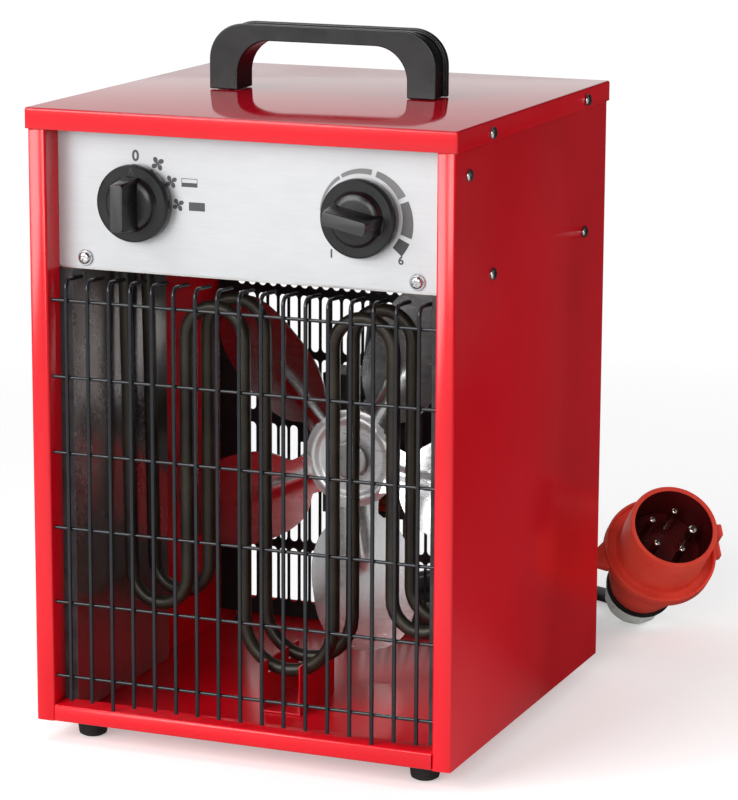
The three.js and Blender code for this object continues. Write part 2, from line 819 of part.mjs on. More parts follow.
// Motor bracket: a strip bent back to two feet on the rear grille
function makeMotorBracket() {
  const front = motorY + coreDepth + bearingDepth + gap;
  const back = rearInnerY - gap;
  const t = motorBracketSheet;
  const half = motorBracketWidth / 2;
  const wide = half + motorBracketFoot;
  const shape = outline([
    [-wide, back - t], [-half, back - t], [-half, front], [half, front], [half, back - t],
    [wide, back - t], [wide, back], [half - t, back], [half - t, front + t],
    [-half + t, front + t], [-half + t, back], [-wide, back],
  ]);
  const strip = new THREE.ExtrudeGeometry(shape, { depth: motorBracketHeight, bevelEnabled: false });
  strip.translate(0, 0, fanHeight - motorBracketHeight / 2);
  return solidOf(strip);
}
addPart('motor_bracket', makeMotorBracket(), blackPaint);

// Knobs, each on the shaft of what it turns
function makeKnob() {
  const rear = -knobStandOff;
  const face = rear - knobThickness;
  const crown = face - knobBossHeight;
  const body = turned([
    [0, rear], [knobRadius - 0.8, rear], [knobRadius, rear - 0.8], [knobRadius, face + 1.2],
    [knobRadius - 1.2, face], [knobBossRadius, face], [knobBossRadius - 1.5, crown], [0, crown],
  ], 20);
  const length = gripLength / 2;
  const width = gripWidth / 2;
  const grip = new THREE.BoxGeometry(2 * width, gripReach + face + 1, 2 * length);
  grip.translate(0, (face + 1 - gripReach) / 2, 0);
  const corner = grip.attributes.position;
  for (let i = 0; i < corner.count; i += 1) {
    if (corner.getY(i) < face) continue;
    corner.setX(i, corner.getX(i) + Math.sign(corner.getX(i)) * gripFlare);
    corner.setZ(i, corner.getZ(i) + Math.sign(corner.getZ(i)) * gripFlare);
  }
  const mark = block(-0.5, 0.5, face - 1, face + 0.6, knobRadius - 5, knobRadius - 1.6);
  const bore = bar('y', knobShaftRadius + gap, rear - knobBore, rear + 1, [0, 0], 8);
  return cut(body.add(solidOf(grip)), [mark, bore]);
}

const knobShape = makeKnob();
const shaftFront = -knobStandOff - knobBore + gap;
const controlFront = panelBackY + gap - panelFrontY;
const shaftBack = controlFront + knobShaftSeat;
const knobShaft = bar('y', knobShaftRadius, shaftFront, shaftBack, [0, 0], 8);

function addKnob(knobName, shaftName, x, restAngle) {
  const turning = new THREE.Group();
  turning.position.set(x, panelFrontY, knobHeight);
  turning.rotation.y = (restAngle * Math.PI) / 180;
  heater.add(turning);
  addPart(knobName, knobShape, blackPlastic, turning);
  addPart(shaftName, knobShaft, galvanised, turning);
}
addKnob('selector_knob', 'selector_shaft', -knobX, 0);
addKnob('thermostat_knob', 'thermostat_shaft', knobX, thermostatRest);

const bush = bar('y', bushRadius, -bushReach, controlFront + 1, [0, 0], 12);
const shaftHole = bar('y', knobShaftRadius + gap, -bushReach - 1, shaftBack + gap, [0, 0], 8);

function makeSwitch() {
  const halfW = switchWidth / 2;
  const halfH = switchHeight / 2;
  const back = controlFront + switchDepth;
  const pieces = [block(-halfW, halfW, controlFront, back, -halfH, halfH), bush];
  for (const column of [-1, 0, 1]) {
    for (const row of [-1, 1]) {
      const x = (column * switchWidth) / 3;
      const z = (row * switchHeight) / 4;
      const half = tabWidth / 2;
      const thin = tabThickness / 2;
      pieces.push(block(x - half, x + half, back - 1, back + tabLength, z - thin, z + thin));
    }
  }
  return cut(join(pieces), [shaftHole]);
}
const switchMesh = addPart('selector_switch', makeSwitch(), whitePlastic);
switchMesh.position.set(-knobX, panelFrontY, knobHeight);

const thermostatBack = controlFront + thermostatDepth;

function makeThermostat() {
  const pieces = [bar('y', thermostatRadius, controlFront, thermostatBack, [0, 0], 20), bush];
  for (const side of [-1, 1]) {
    const x = (side * thermostatRadius) / 2;
    const half = tabThickness / 2;
    const wide = tabWidth / 2;
    const end = thermostatBack + tabLength;
    pieces.push(block(x - half, x + half, thermostatBack - 1, end, -wide, wide));
  }
  return cut(join(pieces), [shaftHole]);
}
const thermostatMesh = addPart('thermostat_body', makeThermostat(), galvanised);
thermostatMesh.position.set(knobX, panelFrontY, knobHeight);

// Sensing bulb under the shelf, with its capillary up to the thermostat
function makeBulb() {
  const y = rearInnerY - bulbSet;
  const z = shelfHeight - gap - bulbRadius;
  const start = knobX - 14 - bulbLength;
  const bulb = bar('x', bulbRadius, start, start + bulbLength, [y, z], 10);
  const rise = shelfTop + 6;
  const end = panelFrontY + thermostatBack + gap;
  const high = knobHeight - thermostatRadius / 2;
  const path = [
    [start + bulbLength - 2, y, z], [knobX - 5, y, z], [knobX - 1.5, y, z + 1.5], [knobX, y, z + 5],
    [knobX, y, rise], [knobX, y - 4, rise + 5], [knobX, end + 16, high - 4],
    [knobX, end + 8, high], [knobX, end, high],
  ];
  return bulb.add(tubeAlong(path.map(vector), capillaryRadius, 6));
}
addPart('thermostat_bulb', makeBulb(), copper);

// Terminal block with a clamp screw over each way
function makeTerminalBlock() {
  const low = shelfTop + gap;
  const half = terminalWidth / 2;
  const body = block(-half, half, terminalY, terminalY + terminalDepth, low, low + terminalHeight);
  const holes = [];
  for (let way = 0; way < terminalBlockWays; way += 1) {
    const x = (way - (terminalBlockWays - 1) / 2) * (terminalWidth / terminalBlockWays);
    const top = low + terminalHeight;
    for (const share of [0.27, 0.73]) {
      const place = [x, terminalY + share * terminalDepth];
      holes.push(bar('z', terminalScrewRadius, top - terminalScrewDepth, top + 1, place, 6));
    }
  }
  return cut(body, holes);
}
addPart('terminal_block', makeTerminalBlock(), whitePlastic);

// Overheat cut-out: a disc thermostat on the shelf
function makeCutout() {
  const low = shelfTop + gap;
  const place = [0, cutoutY];
  const high = low + cutoutHeight;
  const pieces = [
    bar('z', cutoutRadius, low, high, place, 16),
    block(-cutoutRadius - 4, cutoutRadius + 4, cutoutY - 4, cutoutY + 4, low, low + 1),
  ];
  for (const side of [-1, 1]) {
    const x = side * 4;
    const half = tabThickness / 2;
    const wide = tabWidth / 2;
    pieces.push(block(x - half, x + half, cutoutY - wide, cutoutY + wide, high - 1, high + tabLength));
  }
  return join(pieces);
}
addPart('overheat_cutout', makeCutout(), blackPlastic);

// Carrying handle: an arch with a shallow recess along its outer face
function archOutline(inset) {
  const half = handleWidth / 2 - inset;
  const low = lidTop + gap;
  const top = lidTop + handleHeight - inset;
  const corner = handleCorner - inset;
  const innerHalf = handleWidth / 2 - handleLeg;
  const innerTop = lidTop + handleHeight - handleGrip;
  const inner = handleInnerCorner;
  const shape = new THREE.Shape();
  shape.moveTo(-half, low);
  shape.lineTo(-innerHalf, low);
  shape.lineTo(-innerHalf, innerTop - inner);
  shape.absarc(-innerHalf + inner, innerTop - inner, inner, Math.PI, Math.PI / 2, true);
  shape.lineTo(innerHalf - inner, innerTop);
  shape.absarc(innerHalf - inner, innerTop - inner, inner, Math.PI / 2, 0, true);
  shape.lineTo(innerHalf, low);
  shape.lineTo(half, low);
  shape.lineTo(half, top - corner);
  shape.absarc(half - corner, top - corner, corner, 0, Math.PI / 2, false);
  shape.lineTo(-half + corner, top);
  shape.absarc(-half + corner, top - corner, corner, Math.PI / 2, Math.PI, false);
  return shape;
}

function makeHandle() {
  const back = handleFrontY + handleDepth;
  const pieces = [
    plateXZ(archOutline(0), handleFrontY, handleFrontY + handleRim, 5),
    plateXZ(archOutline(handleRecess), handleFrontY + handleRim / 2, back - handleRim / 2, 5),
    plateXZ(archOutline(0), back - handleRim, back, 5),
  ];
  const holes = [-1, 1].map((side) => {
    const place = [side * handleLegX, handleMiddleY];
    return bar('z', handleScrewRadius + gap, lidTop - 1, lidTop + handleScrewReach + 1, place, 8);
  });
  return cut(join(pieces), holes);
}
addPart('handle', makeHandle(), blackPlastic);

const handleScrew = turned([
  [0, -handleScrewReach - sheet], [handleScrewRadius, -handleScrewReach - sheet],
  [handleScrewRadius, gap], [handleScrewHead, gap], [handleScrewHead, 2], [0, 3],
], 8);
for (const [side, label] of [[-1, 'left'], [1, 'right']]) {
  const screw = addPart(`handle_screw_${label}`, handleScrew, chrome);
  screw.position.set(side * handleLegX, handleMiddleY, lidUnderside);
  screw.rotation.x = -Math.PI / 2;
}

// Feet: turned rubber buttons pushed into the floor
const footShape = turned([
  [0, 0], [footTipRadius, 0], [footRadius - 0.8, 1.2], [footRadius - 0.2, 5],
  [footRadius, footHeight - gap], [footNeckRadius, footHeight - gap], [footNeckRadius, floorTop + gap],
  [footBarbRadius, floorTop + gap], [footNeckRadius, floorTop + 3], [0, floorTop + 3],
], 16);
const footNames = ['foot_front_left', 'foot_front_right', 'foot_rear_left', 'foot_rear_right'];
footNames.forEach((name, i) => {
  const foot = addPart(name, footShape, blackRubber);
  foot.position.set(footPlaces[i][0], footPlaces[i][1], 0);
  foot.rotation.x = Math.PI / 2;
});

// Screws: pan heads, those of the panel with a washer
function makeScrew(washer) {
  const under = washer ? washerThickness : 0;
  const profile = [[0, -screwLength], [shankRadius, -screwLength], [shankRadius, 0]];
  if (washer) profile.push([washerRadius, 0], [washerRadius, under]);
  profile.push(
    [screwHeadRadius, under],
    [screwHeadRadius, under + screwHeadHeight * 0.35],
    [screwHeadRadius * 0.72, under + screwHeadHeight * 0.88],
    [0, under + screwHeadHeight],
  );
  return turned(profile, 8);
}
const sideScrewShape = makeScrew(false);
const panelScrewShape = makeScrew(true);
for (const [side, label] of [[-1, 'left'], [1, 'right']]) {
  const panelScrew = addPart(`panel_screw_${label}`, panelScrewShape, chrome);
  panelScrew.position.set(side * panelScrewX, panelFrontY - gap, shelfScrewHeight);
  panelScrew.rotation.z = Math.PI;
  const onLid = coverScrews.map((place) => [lidWidth / 2, ...place]);
  const onCase = caseScrews.map((place) => [caseHalfX, ...place]);
  [...onLid, ...onCase].forEach(([face, y, z], i) => {
    const screw = addPart(`side_screw_${label}_${i + 1}`, sideScrewShape, chrome);
    screw.position.set(side * (face + gap), y, z);
    screw.rotation.z = (-side * Math.PI) / 2;
  });
}

// Cable gland: nut inside, nut and tapered relief outside
const reliefEnd = rearFaceY + 2 * gap + glandNutLength + reliefLength;
const glandShape = turned([
  [0, rearInnerY - gap - glandNutLength], [glandNutRadius, rearInnerY - gap - glandNutLength],
  [glandNutRadius, rearInnerY - gap], [glandRadius, rearInnerY - gap], [glandRadius, rearFaceY + gap],
  [glandNutRadius, rearFaceY + gap], [glandNutRadius, rearFaceY + gap + glandNutLength],
  [glandRadius + 1.5, rearFaceY + gap + glandNutLength], [reliefRadius, reliefEnd], [0, reliefEnd],
], 12);
addPart('cable_gland', glandShape, blackPlastic).position.set(glandX, 0, glandHeight);

// Cord: down from the gland, round its coil on the floor, and on to the plug
const leadStretch = (glandHeight - coilZ) / (leadRoute[0][2] - coilZ);
const leadPoints = leadRoute.map(([x, y, z]) => vector([x, y, coilZ + (z - coilZ) * leadStretch]));
addPart('power_cord_lead', tubeAlong(leadPoints, cordRadius, 10), cordRubber);

function coilPoint(turn) {
  const climb = Math.min(Math.max((turn - coilInTurns) / coilClimbTurns, 0), 1);
  let radius = coilRadius - coilPitch * Math.min(turn, coilInTurns);
  radius -= coilPitch * coilClimbTurns * climb * (1 - climb);
  radius += coilPitch * Math.max(turn - coilInTurns - coilClimbTurns, 0);
  const angle = Math.PI - 2 * Math.PI * turn;
  const z = coilZ + coilLayer * climb * climb * (3 - 2 * climb);
  return new THREE.Vector3(coilX + radius * Math.cos(angle), coilY + radius * Math.sin(angle), z);
}

function coilRoute() {
  const steps = Math.round(coilTurns * coilStepsPerTurn);
  const points = [];
  for (let i = 0; i <= steps; i += 1) points.push(coilPoint((coilTurns * i) / steps));
  const run = 2 * cordRadius;
  const start = points[0].clone().add(new THREE.Vector3(0, -run, 0));
  const onward = points[steps].clone().sub(coilPoint(coilTurns - 0.002)).normalize();
  return [start, ...points, points[steps].clone().addScaledVector(onward, run)];
}

function leastGap(points, radius) {
  let least = Infinity;
  const dense = new Route(points).getPoints(600);
  const lengths = [0];
  for (let i = 1; i < dense.length; i += 1) {
    lengths.push(lengths[i - 1] + dense[i].distanceTo(dense[i - 1]));
  }
  for (let i = 0; i < dense.length; i += 1) {
    for (let j = i + 1; j < dense.length; j += 1) {
      if (lengths[j] - lengths[i] < 6 * radius) continue;
      least = Math.min(least, dense[i].distanceTo(dense[j]));
    }
  }
  return least - 2 * radius;
}
const coilPoints = coilRoute();
console.log(`cord coil: least gap to itself ${leastGap(coilPoints, cordRadius).toFixed(2)} mm`);
addPart('power_cord_coil', tubeAlong(coilPoints, cordRadius, 6), cordRubber);
addPart('power_cord_tail', tubeAlong(tailRoute.map(vector), cordRadius, 10), cordRubber);

// Plug: built along its Y axis from the nut to the mouth, then turned and tilted
const turnedPlug = new THREE.Group();
const tilt = (plugTilt * Math.PI) / 180;
turnedPlug.position.set(plugX, plugY, plugNutRadius * Math.cos(tilt));
turnedPlug.rotation.z = ((plugAzimuth - 90) * Math.PI) / 180;
heater.add(turnedPlug);
const plug = new THREE.Group();
plug.rotation.x = tilt;
turnedPlug.add(plug);

const nutFront = plugNutLength;
addPart('plug_nut', turned([
  [0, 0], [plugNutRadius, 0], [plugNutRadius, nutFront - 2],
  [plugNutRadius - 1, nutFront], [0, nutFront],
], 20), paleNut, plug);

const sealFront = nutFront + gap + plugSealThickness;
addPart('plug_seal', turned([
  [0, nutFront + gap], [plugSealRadius - 1, nutFront + gap], [plugSealRadius, nutFront + gap + 1],
  [plugSealRadius, sealFront], [0, sealFront],
], 20), blackRubber, plug);

const bodyRear = sealFront + gap;
const bodyFront = bodyRear + plugBodyLength;
addPart('plug_body', turned([
  [0, bodyRear], [plugBodyRear, bodyRear], [plugBodyRear + 3, bodyRear + plugBodyLength * 0.25],
  [plugBodyRear + 5, bodyRear + plugBodyLength * 0.6], [plugBodyFront, bodyFront - 4],
  [plugBodyFront, bodyFront], [0, bodyFront],
], 20), plugRed, plug);

const shroudRear = bodyFront + gap;
const mouth = shroudRear + shroudLength;
const bore = shroudRadius - shroudWall;

function makeShroud() {
  const collarFront = shroudRear + collarThickness;
  const shell = turned([
    [bore, shroudRear], [plugBodyFront, shroudRear], [collarRadius, shroudRear + 3],
    [collarRadius, collarFront], [collarRadius - collarWall, collarFront],
    [collarRadius - collarWall, collarFront - collarRecess],
    [shroudRadius, collarFront - collarRecess], [shroudRadius, mouth], [bore, mouth],
    [bore, shroudRear],
  ], 24);
  const low = shroudRear + 2;
  const fin = new THREE.ExtrudeGeometry(outline([
    [collarRadius - 1.5, -lugWidth / 2], [collarRadius + lugReach, -lugWidth / 4],
    [collarRadius + lugReach, 0], [collarRadius - 1.5, lugWidth / 2],
  ]), { depth: lugThickness, bevelEnabled: false });
  fin.rotateX(Math.PI / 2);
  fin.translate(0, low + lugThickness, 0);
  const smallEnd = -collarRadius - smallLugReach;
  const smallHalf = smallLugWidth / 2;
  const small = block(smallEnd, -collarRadius + 1.5, low, low + lugThickness, -smallHalf, smallHalf);
  const keyEnd = -shroudRadius - keyReach;
  const keyFrom = mouth - keySet - keyLength;
  const keyHalf = keyWidth / 2;
  const key = block(keyEnd, -shroudRadius + 1.5, keyFrom, mouth - keySet, -keyHalf, keyHalf);
  return join([shell, solidOf(fin), small, key]);
}
addPart('plug_shroud', makeShroud(), plugRed, plug);

const insertFront = shroudRear + insertThickness;

function pinPlace(i) {
  const angle = Math.PI - (2 * Math.PI * i) / pinCount;
  return [pinCircle * Math.cos(angle), pinCircle * Math.sin(angle)];
}
const pinRadii = Array.from({ length: pinCount }, (_, i) => (i === 0 ? earthPinRadius : pinRadius));
const insertBody = bar('y', bore - gap, shroudRear, insertFront, [0, 0], 24);
const insertHoles = pinRadii.map((radius, i) => {
  return bar('y', radius + gap, insertFront - insertHole, insertFront + 1, pinPlace(i), 8);
});
addPart('plug_insert', cut(insertBody, insertHoles), plugDark, plug);

pinRadii.forEach((radius, i) => {
  const rear = insertFront - insertHole + gap;
  const [x, z] = pinPlace(i);
  const tip = mouth - pinSet;
  const pinShape = turned([
    [0, rear], [radius, rear], [radius, tip - radius / 2], [radius * 0.6, tip], [0, tip],
  ], 8);
  addPart(`plug_pin_${i + 1}`, pinShape, brass, plug).position.set(x, 0, z);
});

// The origin lies under the middle of the heater without its cord
heater.position.y = -(knobFrontY + lidDepth / 2) / 2;
heater.updateMatrixWorld(true);

export default heater;
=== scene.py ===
import math

import bmesh
import bpy
from mathutils import Matrix, Vector


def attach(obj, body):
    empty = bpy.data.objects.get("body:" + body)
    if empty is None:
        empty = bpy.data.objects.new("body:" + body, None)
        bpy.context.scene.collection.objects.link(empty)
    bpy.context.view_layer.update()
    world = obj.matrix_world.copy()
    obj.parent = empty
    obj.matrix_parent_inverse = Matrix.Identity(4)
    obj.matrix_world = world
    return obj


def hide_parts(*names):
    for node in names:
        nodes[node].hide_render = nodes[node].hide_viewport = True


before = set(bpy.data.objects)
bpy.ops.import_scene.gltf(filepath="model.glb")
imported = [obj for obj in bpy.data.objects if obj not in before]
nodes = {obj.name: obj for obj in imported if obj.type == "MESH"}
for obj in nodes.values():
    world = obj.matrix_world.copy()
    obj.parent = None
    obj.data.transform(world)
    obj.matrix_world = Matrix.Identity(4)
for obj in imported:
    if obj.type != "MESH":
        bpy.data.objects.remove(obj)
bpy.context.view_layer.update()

mm = 0.001
shiftY = 5.25 * mm  # the case's middle lies this far behind the origin
scene = bpy.context.scene


def stageDone(words):
    print("heater:", words)


# Objects and meshes

def newObject(name, mesh):
    piece = bpy.data.objects.new(name, mesh)
    scene.collection.objects.link(piece)
    return piece


def meshFrom(name, points, faces):
    mesh = bpy.data.meshes.new(name)
    mesh.from_pydata([tuple(p) for p in points], [], faces)
    mesh.update()
    return mesh


def tidyMesh(mesh, smooth=35):
    work = bmesh.new()
    work.from_mesh(mesh)
    bmesh.ops.remove_doubles(work, verts=work.verts, dist=0.00001)
    bmesh.ops.recalc_face_normals(work, faces=work.faces)
    work.to_mesh(mesh)
    work.free()
    mesh.shade_smooth()
    mesh.set_sharp_from_angle(angle=math.radians(smooth))
    return mesh


def joined(name, meshes, smooth=35):
    work = bmesh.new()
    for mesh in meshes:
        work.from_mesh(mesh)
    whole = bpy.data.meshes.new(name)
    work.to_mesh(whole)
    work.free()
    whole.shade_smooth()
    whole.set_sharp_from_angle(angle=math.radians(smooth))
    return whole


def moved(mesh, matrix):
    copy = mesh.copy()
    copy.transform(matrix)
    return copy


def boxMesh(x0, x1, y0, y1, z0, z1):
    points = [(x, y, z) for x in (x0, x1) for y in (y0, y1) for z in (z0, z1)]
    faces = [(0, 1, 3, 2), (4, 6, 7, 5), (0, 4, 5, 1), (2, 3, 7, 6), (0, 2, 6, 4), (1, 5, 7, 3)]
    return tidyMesh(meshFrom("box", [[c * mm for c in p] for p in points], faces))


def turnedMesh(profile, sides=48, smooth=35):
    # profile: radius and place along Y, from one end on the axis to the other, or closed
    points = []
    faces = []
    rings = []
    for radius, y in profile:
        if radius < 1e-6:
            rings.append([len(points)])
            points.append((0, y * mm, 0))
            continue
        rings.append(list(range(len(points), len(points) + sides)))
        for i in range(sides):
            angle = 2 * math.pi * i / sides
            points.append((radius * mm * math.cos(angle), y * mm, radius * mm * math.sin(angle)))
    for first, second in zip(rings, rings[1:]):
        for i in range(sides):
            a, b = first[i % len(first)], first[(i + 1) % len(first)]
            c, d = second[(i + 1) % len(second)], second[i % len(second)]
            corners = list(dict.fromkeys([a, b, c, d]))
            if len(corners) > 2:
                faces.append(corners)
    return tidyMesh(meshFrom("turned", points, faces), smooth)


def prismMesh(outline, y0, y1):
    # outline: points in X and Z
    count = len(outline)
    points = [(x * mm, y0 * mm, z * mm) for x, z in outline]
    points += [(x * mm, y1 * mm, z * mm) for x, z in outline]
    faces = [tuple(range(count)), tuple(range(2 * count - 1, count - 1, -1))]
    for i in range(count):
        j = (i + 1) % count
        faces.append((i, i + count, j + count, j))
    return tidyMesh(meshFrom("prism", points, faces))


def tubeMesh(path, radius, sides=12):
    points = [Vector(p) * mm for p in path]
    vertices = []
    faces = []
    side = None
    for i, point in enumerate(points):
        before = points[max(i - 1, 0)]
        after = points[min(i + 1, len(points) - 1)]
        along = (after - before).normalized()
        if side is None:
            side = along.orthogonal().normalized()
        side = (side - along * side.dot(along)).normalized()
        up = along.cross(side)
        for k in range(sides):
            angle = 2 * math.pi * k / sides
            vertices.append(point + (side * math.cos(angle) + up * math.sin(angle)) * radius * mm)
    for i in range(len(points) - 1):
        for k in range(sides):
            a = i * sides + k
            b = i * sides + (k + 1) % sides
            faces.append((a, b, b + sides, a + sides))
    faces.append(tuple(range(sides)))
    last = (len(points) - 1) * sides
    faces.append(tuple(range(last + sides - 1, last - 1, -1)))
    return tidyMesh(meshFrom("tube", vertices, faces), 50)


def bevelled(piece, width, segments=3, angle=30):
    bevel = piece.modifiers.new("softEdges", "BEVEL")
    bevel.width = width * mm
    bevel.segments = segments
    bevel.limit_method = "ANGLE"
    bevel.angle_limit = math.radians(angle)
    bevel.harden_normals = True
    return piece


def applied(piece):
    # the evaluated mesh in place of the modifiers
    graph = bpy.context.evaluated_depsgraph_get()
    mesh = bpy.data.meshes.new_from_object(piece.evaluated_get(graph))
    piece.modifiers.clear()
    piece.data = mesh
    return piece


def place(piece, body, material, slotName, *replaced):
    piece.data.materials.clear()
    piece.data.materials.append(material)
    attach(piece, body)
    if replaced:
        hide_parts(*replaced)
    return piece


def paintFaces(piece, material, chosen):
    # a second finish, on the faces that the test picks
    piece.data.materials.append(material)
    for face in piece.data.polygons:
        if chosen(face):
            face.material_index = 1


def fromNode(name, node, width):
    # a copy of a solid's mesh with its flat faces whole again and its edges rounded
    mesh = nodes[node].data.copy()
    mesh.name = name
    work = bmesh.new()
    work.from_mesh(mesh)
    bmesh.ops.remove_doubles(work, verts=work.verts, dist=0.00002)
    bmesh.ops.dissolve_limit(work, angle_limit=math.radians(1), verts=work.verts, edges=work.edges)
    work.to_mesh(mesh)
    work.free()
    mesh.shade_smooth()
    mesh.set_sharp_from_angle(angle=math.radians(30))
    return bevelled(newObject(name, mesh), width, 2)


# Geometry node trees

def newTree(name, inputs):
    tree = bpy.data.node_groups.new(name, "GeometryNodeTree")
    tree.interface.new_socket("Geometry", in_out="OUTPUT", socket_type="NodeSocketGeometry")
    for label, kind in inputs:
        tree.interface.new_socket(label, in_out="INPUT", socket_type=kind)
    return tree, tree.nodes.new("NodeGroupInput"), tree.nodes.new("NodeGroupOutput")


def endTree(tree, start, end, geometry):
    realize = tree.nodes.new("GeometryNodeRealizeInstances")
    paint = tree.nodes.new("GeometryNodeSetMaterial")
    tree.links.new(geometry, realize.inputs[0])
    tree.links.new(realize.outputs[0], paint.inputs["Geometry"])
    tree.links.new(start.outputs["Material"], paint.inputs["Material"])
    tree.links.new(paint.outputs[0], end.inputs[0])


def grown(name, tree, values):
    # runs a tree on an empty mesh and keeps the result as a plain mesh
    piece = newObject(name, bpy.data.meshes.new(name))
    modifier = piece.modifiers.new("grow", "NODES")
    modifier.node_group = tree
    for item in tree.interface.items_tree:
        if item.in_out == "INPUT" and item.name in values:
            modifier[item.identifier] = values[item.name]
    applied(piece)
    piece.data.name = name
    piece.data.shade_smooth()
    piece.data.set_sharp_from_angle(angle=math.radians(35))
    return piece


def mathNode(tree, operation, a, b):
    node = tree.nodes.new("ShaderNodeMath")
    node.operation = operation
    for socket, value in zip(node.inputs, (a, b)):
        if isinstance(value, (int, float)):
            socket.default_value = value
        else:
            tree.links.new(value, socket)
    return node.outputs[0]


def templateInfo(tree, start, label):
    info = tree.nodes.new("GeometryNodeObjectInfo")
    tree.links.new(start.outputs[label], info.inputs[0])
    return info.outputs["Geometry"]


def rowTree():
    # copies of a template at even steps
    tree, start, end = newTree("evenRow", [
        ("Template", "NodeSocketObject"), ("Count", "NodeSocketInt"), ("First", "NodeSocketVector"),
        ("Step", "NodeSocketVector"), ("Material", "NodeSocketMaterial")])
    line = tree.nodes.new("GeometryNodeMeshLine")
    tree.links.new(start.outputs["Count"], line.inputs["Count"])
    tree.links.new(start.outputs["First"], line.inputs["Start Location"])
    tree.links.new(start.outputs["Step"], line.inputs["Offset"])
    copies = tree.nodes.new("GeometryNodeInstanceOnPoints")
    tree.links.new(line.outputs[0], copies.inputs["Points"])
    tree.links.new(templateInfo(tree, start, "Template"), copies.inputs["Instance"])
    endTree(tree, start, end, copies.outputs[0])
    return tree


def ringTree():
    # copies of a template turned about Y, the first one by the start angle
    tree, start, end = newTree("evenRing", [
        ("Template", "NodeSocketObject"), ("Count", "NodeSocketInt"), ("Start", "NodeSocketFloat"),
        ("Material", "NodeSocketMaterial")])
    line = tree.nodes.new("GeometryNodeMeshLine")
    tree.links.new(start.outputs["Count"], line.inputs["Count"])
    line.inputs["Offset"].default_value = (0, 0, 0)
    index = tree.nodes.new("GeometryNodeInputIndex")
    part = mathNode(tree, "DIVIDE", index.outputs[0], start.outputs["Count"])
    turn = mathNode(tree, "MULTIPLY", part, 2 * math.pi)
    angle = mathNode(tree, "ADD", turn, start.outputs["Start"])
    combine = tree.nodes.new("ShaderNodeCombineXYZ")
    tree.links.new(angle, combine.inputs["Y"])
    copies = tree.nodes.new("GeometryNodeInstanceOnPoints")
    tree.links.new(line.outputs[0], copies.inputs["Points"])
    tree.links.new(templateInfo(tree, start, "Template"), copies.inputs["Instance"])
    tree.links.new(combine.outputs[0], copies.inputs["Rotation"])
    endTree(tree, start, end, copies.outputs[0])
    return tree


def placesTree():
    # copies of a template at the points of another mesh, turned by its "turn" values
    tree, start, end = newTree("atPlaces", [
        ("Template", "NodeSocketObject"), ("Places", "NodeSocketObject"),
        ("Material", "NodeSocketMaterial")])
    turn = tree.nodes.new("GeometryNodeInputNamedAttribute")
    turn.data_type = "FLOAT_VECTOR"
    turn.inputs["Name"].default_value = "turn"
    copies = tree.nodes.new("GeometryNodeInstanceOnPoints")
    tree.links.new(templateInfo(tree, start, "Places"), copies.inputs["Points"])
    tree.links.new(templateInfo(tree, start, "Template"), copies.inputs["Instance"])
    tree.links.new(turn.outputs["Attribute"], copies.inputs["Rotation"])
    endTree(tree, start, end, copies.outputs[0])
    return tree


def slottedTree():
    # a plate with rows and columns of slots cut through it, in two blocks of rows
    tree, start, end = newTree("slottedPlate", [
        ("Plate", "NodeSocketObject"), ("Slot", "NodeSocketObject"), ("Hole", "NodeSocketObject"),
        ("Columns", "NodeSocketInt"), ("Rows", "NodeSocketInt"), ("Pitch X", "NodeSocketFloat"),
        ("Pitch Z", "NodeSocketFloat"), ("Low", "NodeSocketVector"), ("High", "NodeSocketVector"),
        ("Material", "NodeSocketMaterial")])
    cutters = tree.nodes.new("GeometryNodeJoinGeometry")
    for label in ("Low", "High"):
        grid = tree.nodes.new("GeometryNodeMeshGrid")
        for count, pitch, axis in (("Columns", "Pitch X", "X"), ("Rows", "Pitch Z", "Y")):
            gaps = mathNode(tree, "SUBTRACT", start.outputs[count], 1)
            size = mathNode(tree, "MULTIPLY", gaps, start.outputs[pitch])
            tree.links.new(size, grid.inputs["Size " + axis])
            tree.links.new(start.outputs[count], grid.inputs["Vertices " + axis])
        upright = tree.nodes.new("GeometryNodeTransform")
        upright.inputs["Rotation"].default_value = (math.pi / 2, 0, 0)
        tree.links.new(grid.outputs[0], upright.inputs["Geometry"])
        tree.links.new(start.outputs[label], upright.inputs["Translation"])
        copies = tree.nodes.new("GeometryNodeInstanceOnPoints")
        tree.links.new(upright.outputs[0], copies.inputs["Points"])
        tree.links.new(templateInfo(tree, start, "Slot"), copies.inputs["Instance"])
        tree.links.new(copies.outputs[0], cutters.inputs[0])
    tree.links.new(templateInfo(tree, start, "Hole"), cutters.inputs[0])
    solid = tree.nodes.new("GeometryNodeRealizeInstances")
    tree.links.new(cutters.outputs[0], solid.inputs[0])
    cut = tree.nodes.new("GeometryNodeMeshBoolean")
    cut.operation = "DIFFERENCE"
    cut.solver = "EXACT"
    tree.links.new(templateInfo(tree, start, "Plate"), cut.inputs["Mesh 1"])
    tree.links.new(solid.outputs[0], cut.inputs["Mesh 2"])
    endTree(tree, start, end, cut.outputs["Mesh"])
    return tree


trees = {"row": rowTree(), "ring": ringTree(), "places": placesTree(), "slotted": slottedTree()}


def template(mesh):
    return newObject("template", mesh)


def drop(*pieces):
    for piece in pieces:
        bpy.data.objects.remove(piece)


def rowOf(name, mesh, count, first, step, material):
    source = template(mesh)
    piece = grown(name, trees["row"], {
        "Template": source, "Count": count, "First": [c * mm for c in first],
        "Step": [c * mm for c in step], "Material": material})
    drop(source)
    return piece


def ringOf(name, mesh, count, startAngle, material):
    source = template(mesh)
    piece = grown(name, trees["ring"], {
        "Template": source, "Count": count, "Start": math.radians(startAngle), "Material": material})
    drop(source)
    return piece


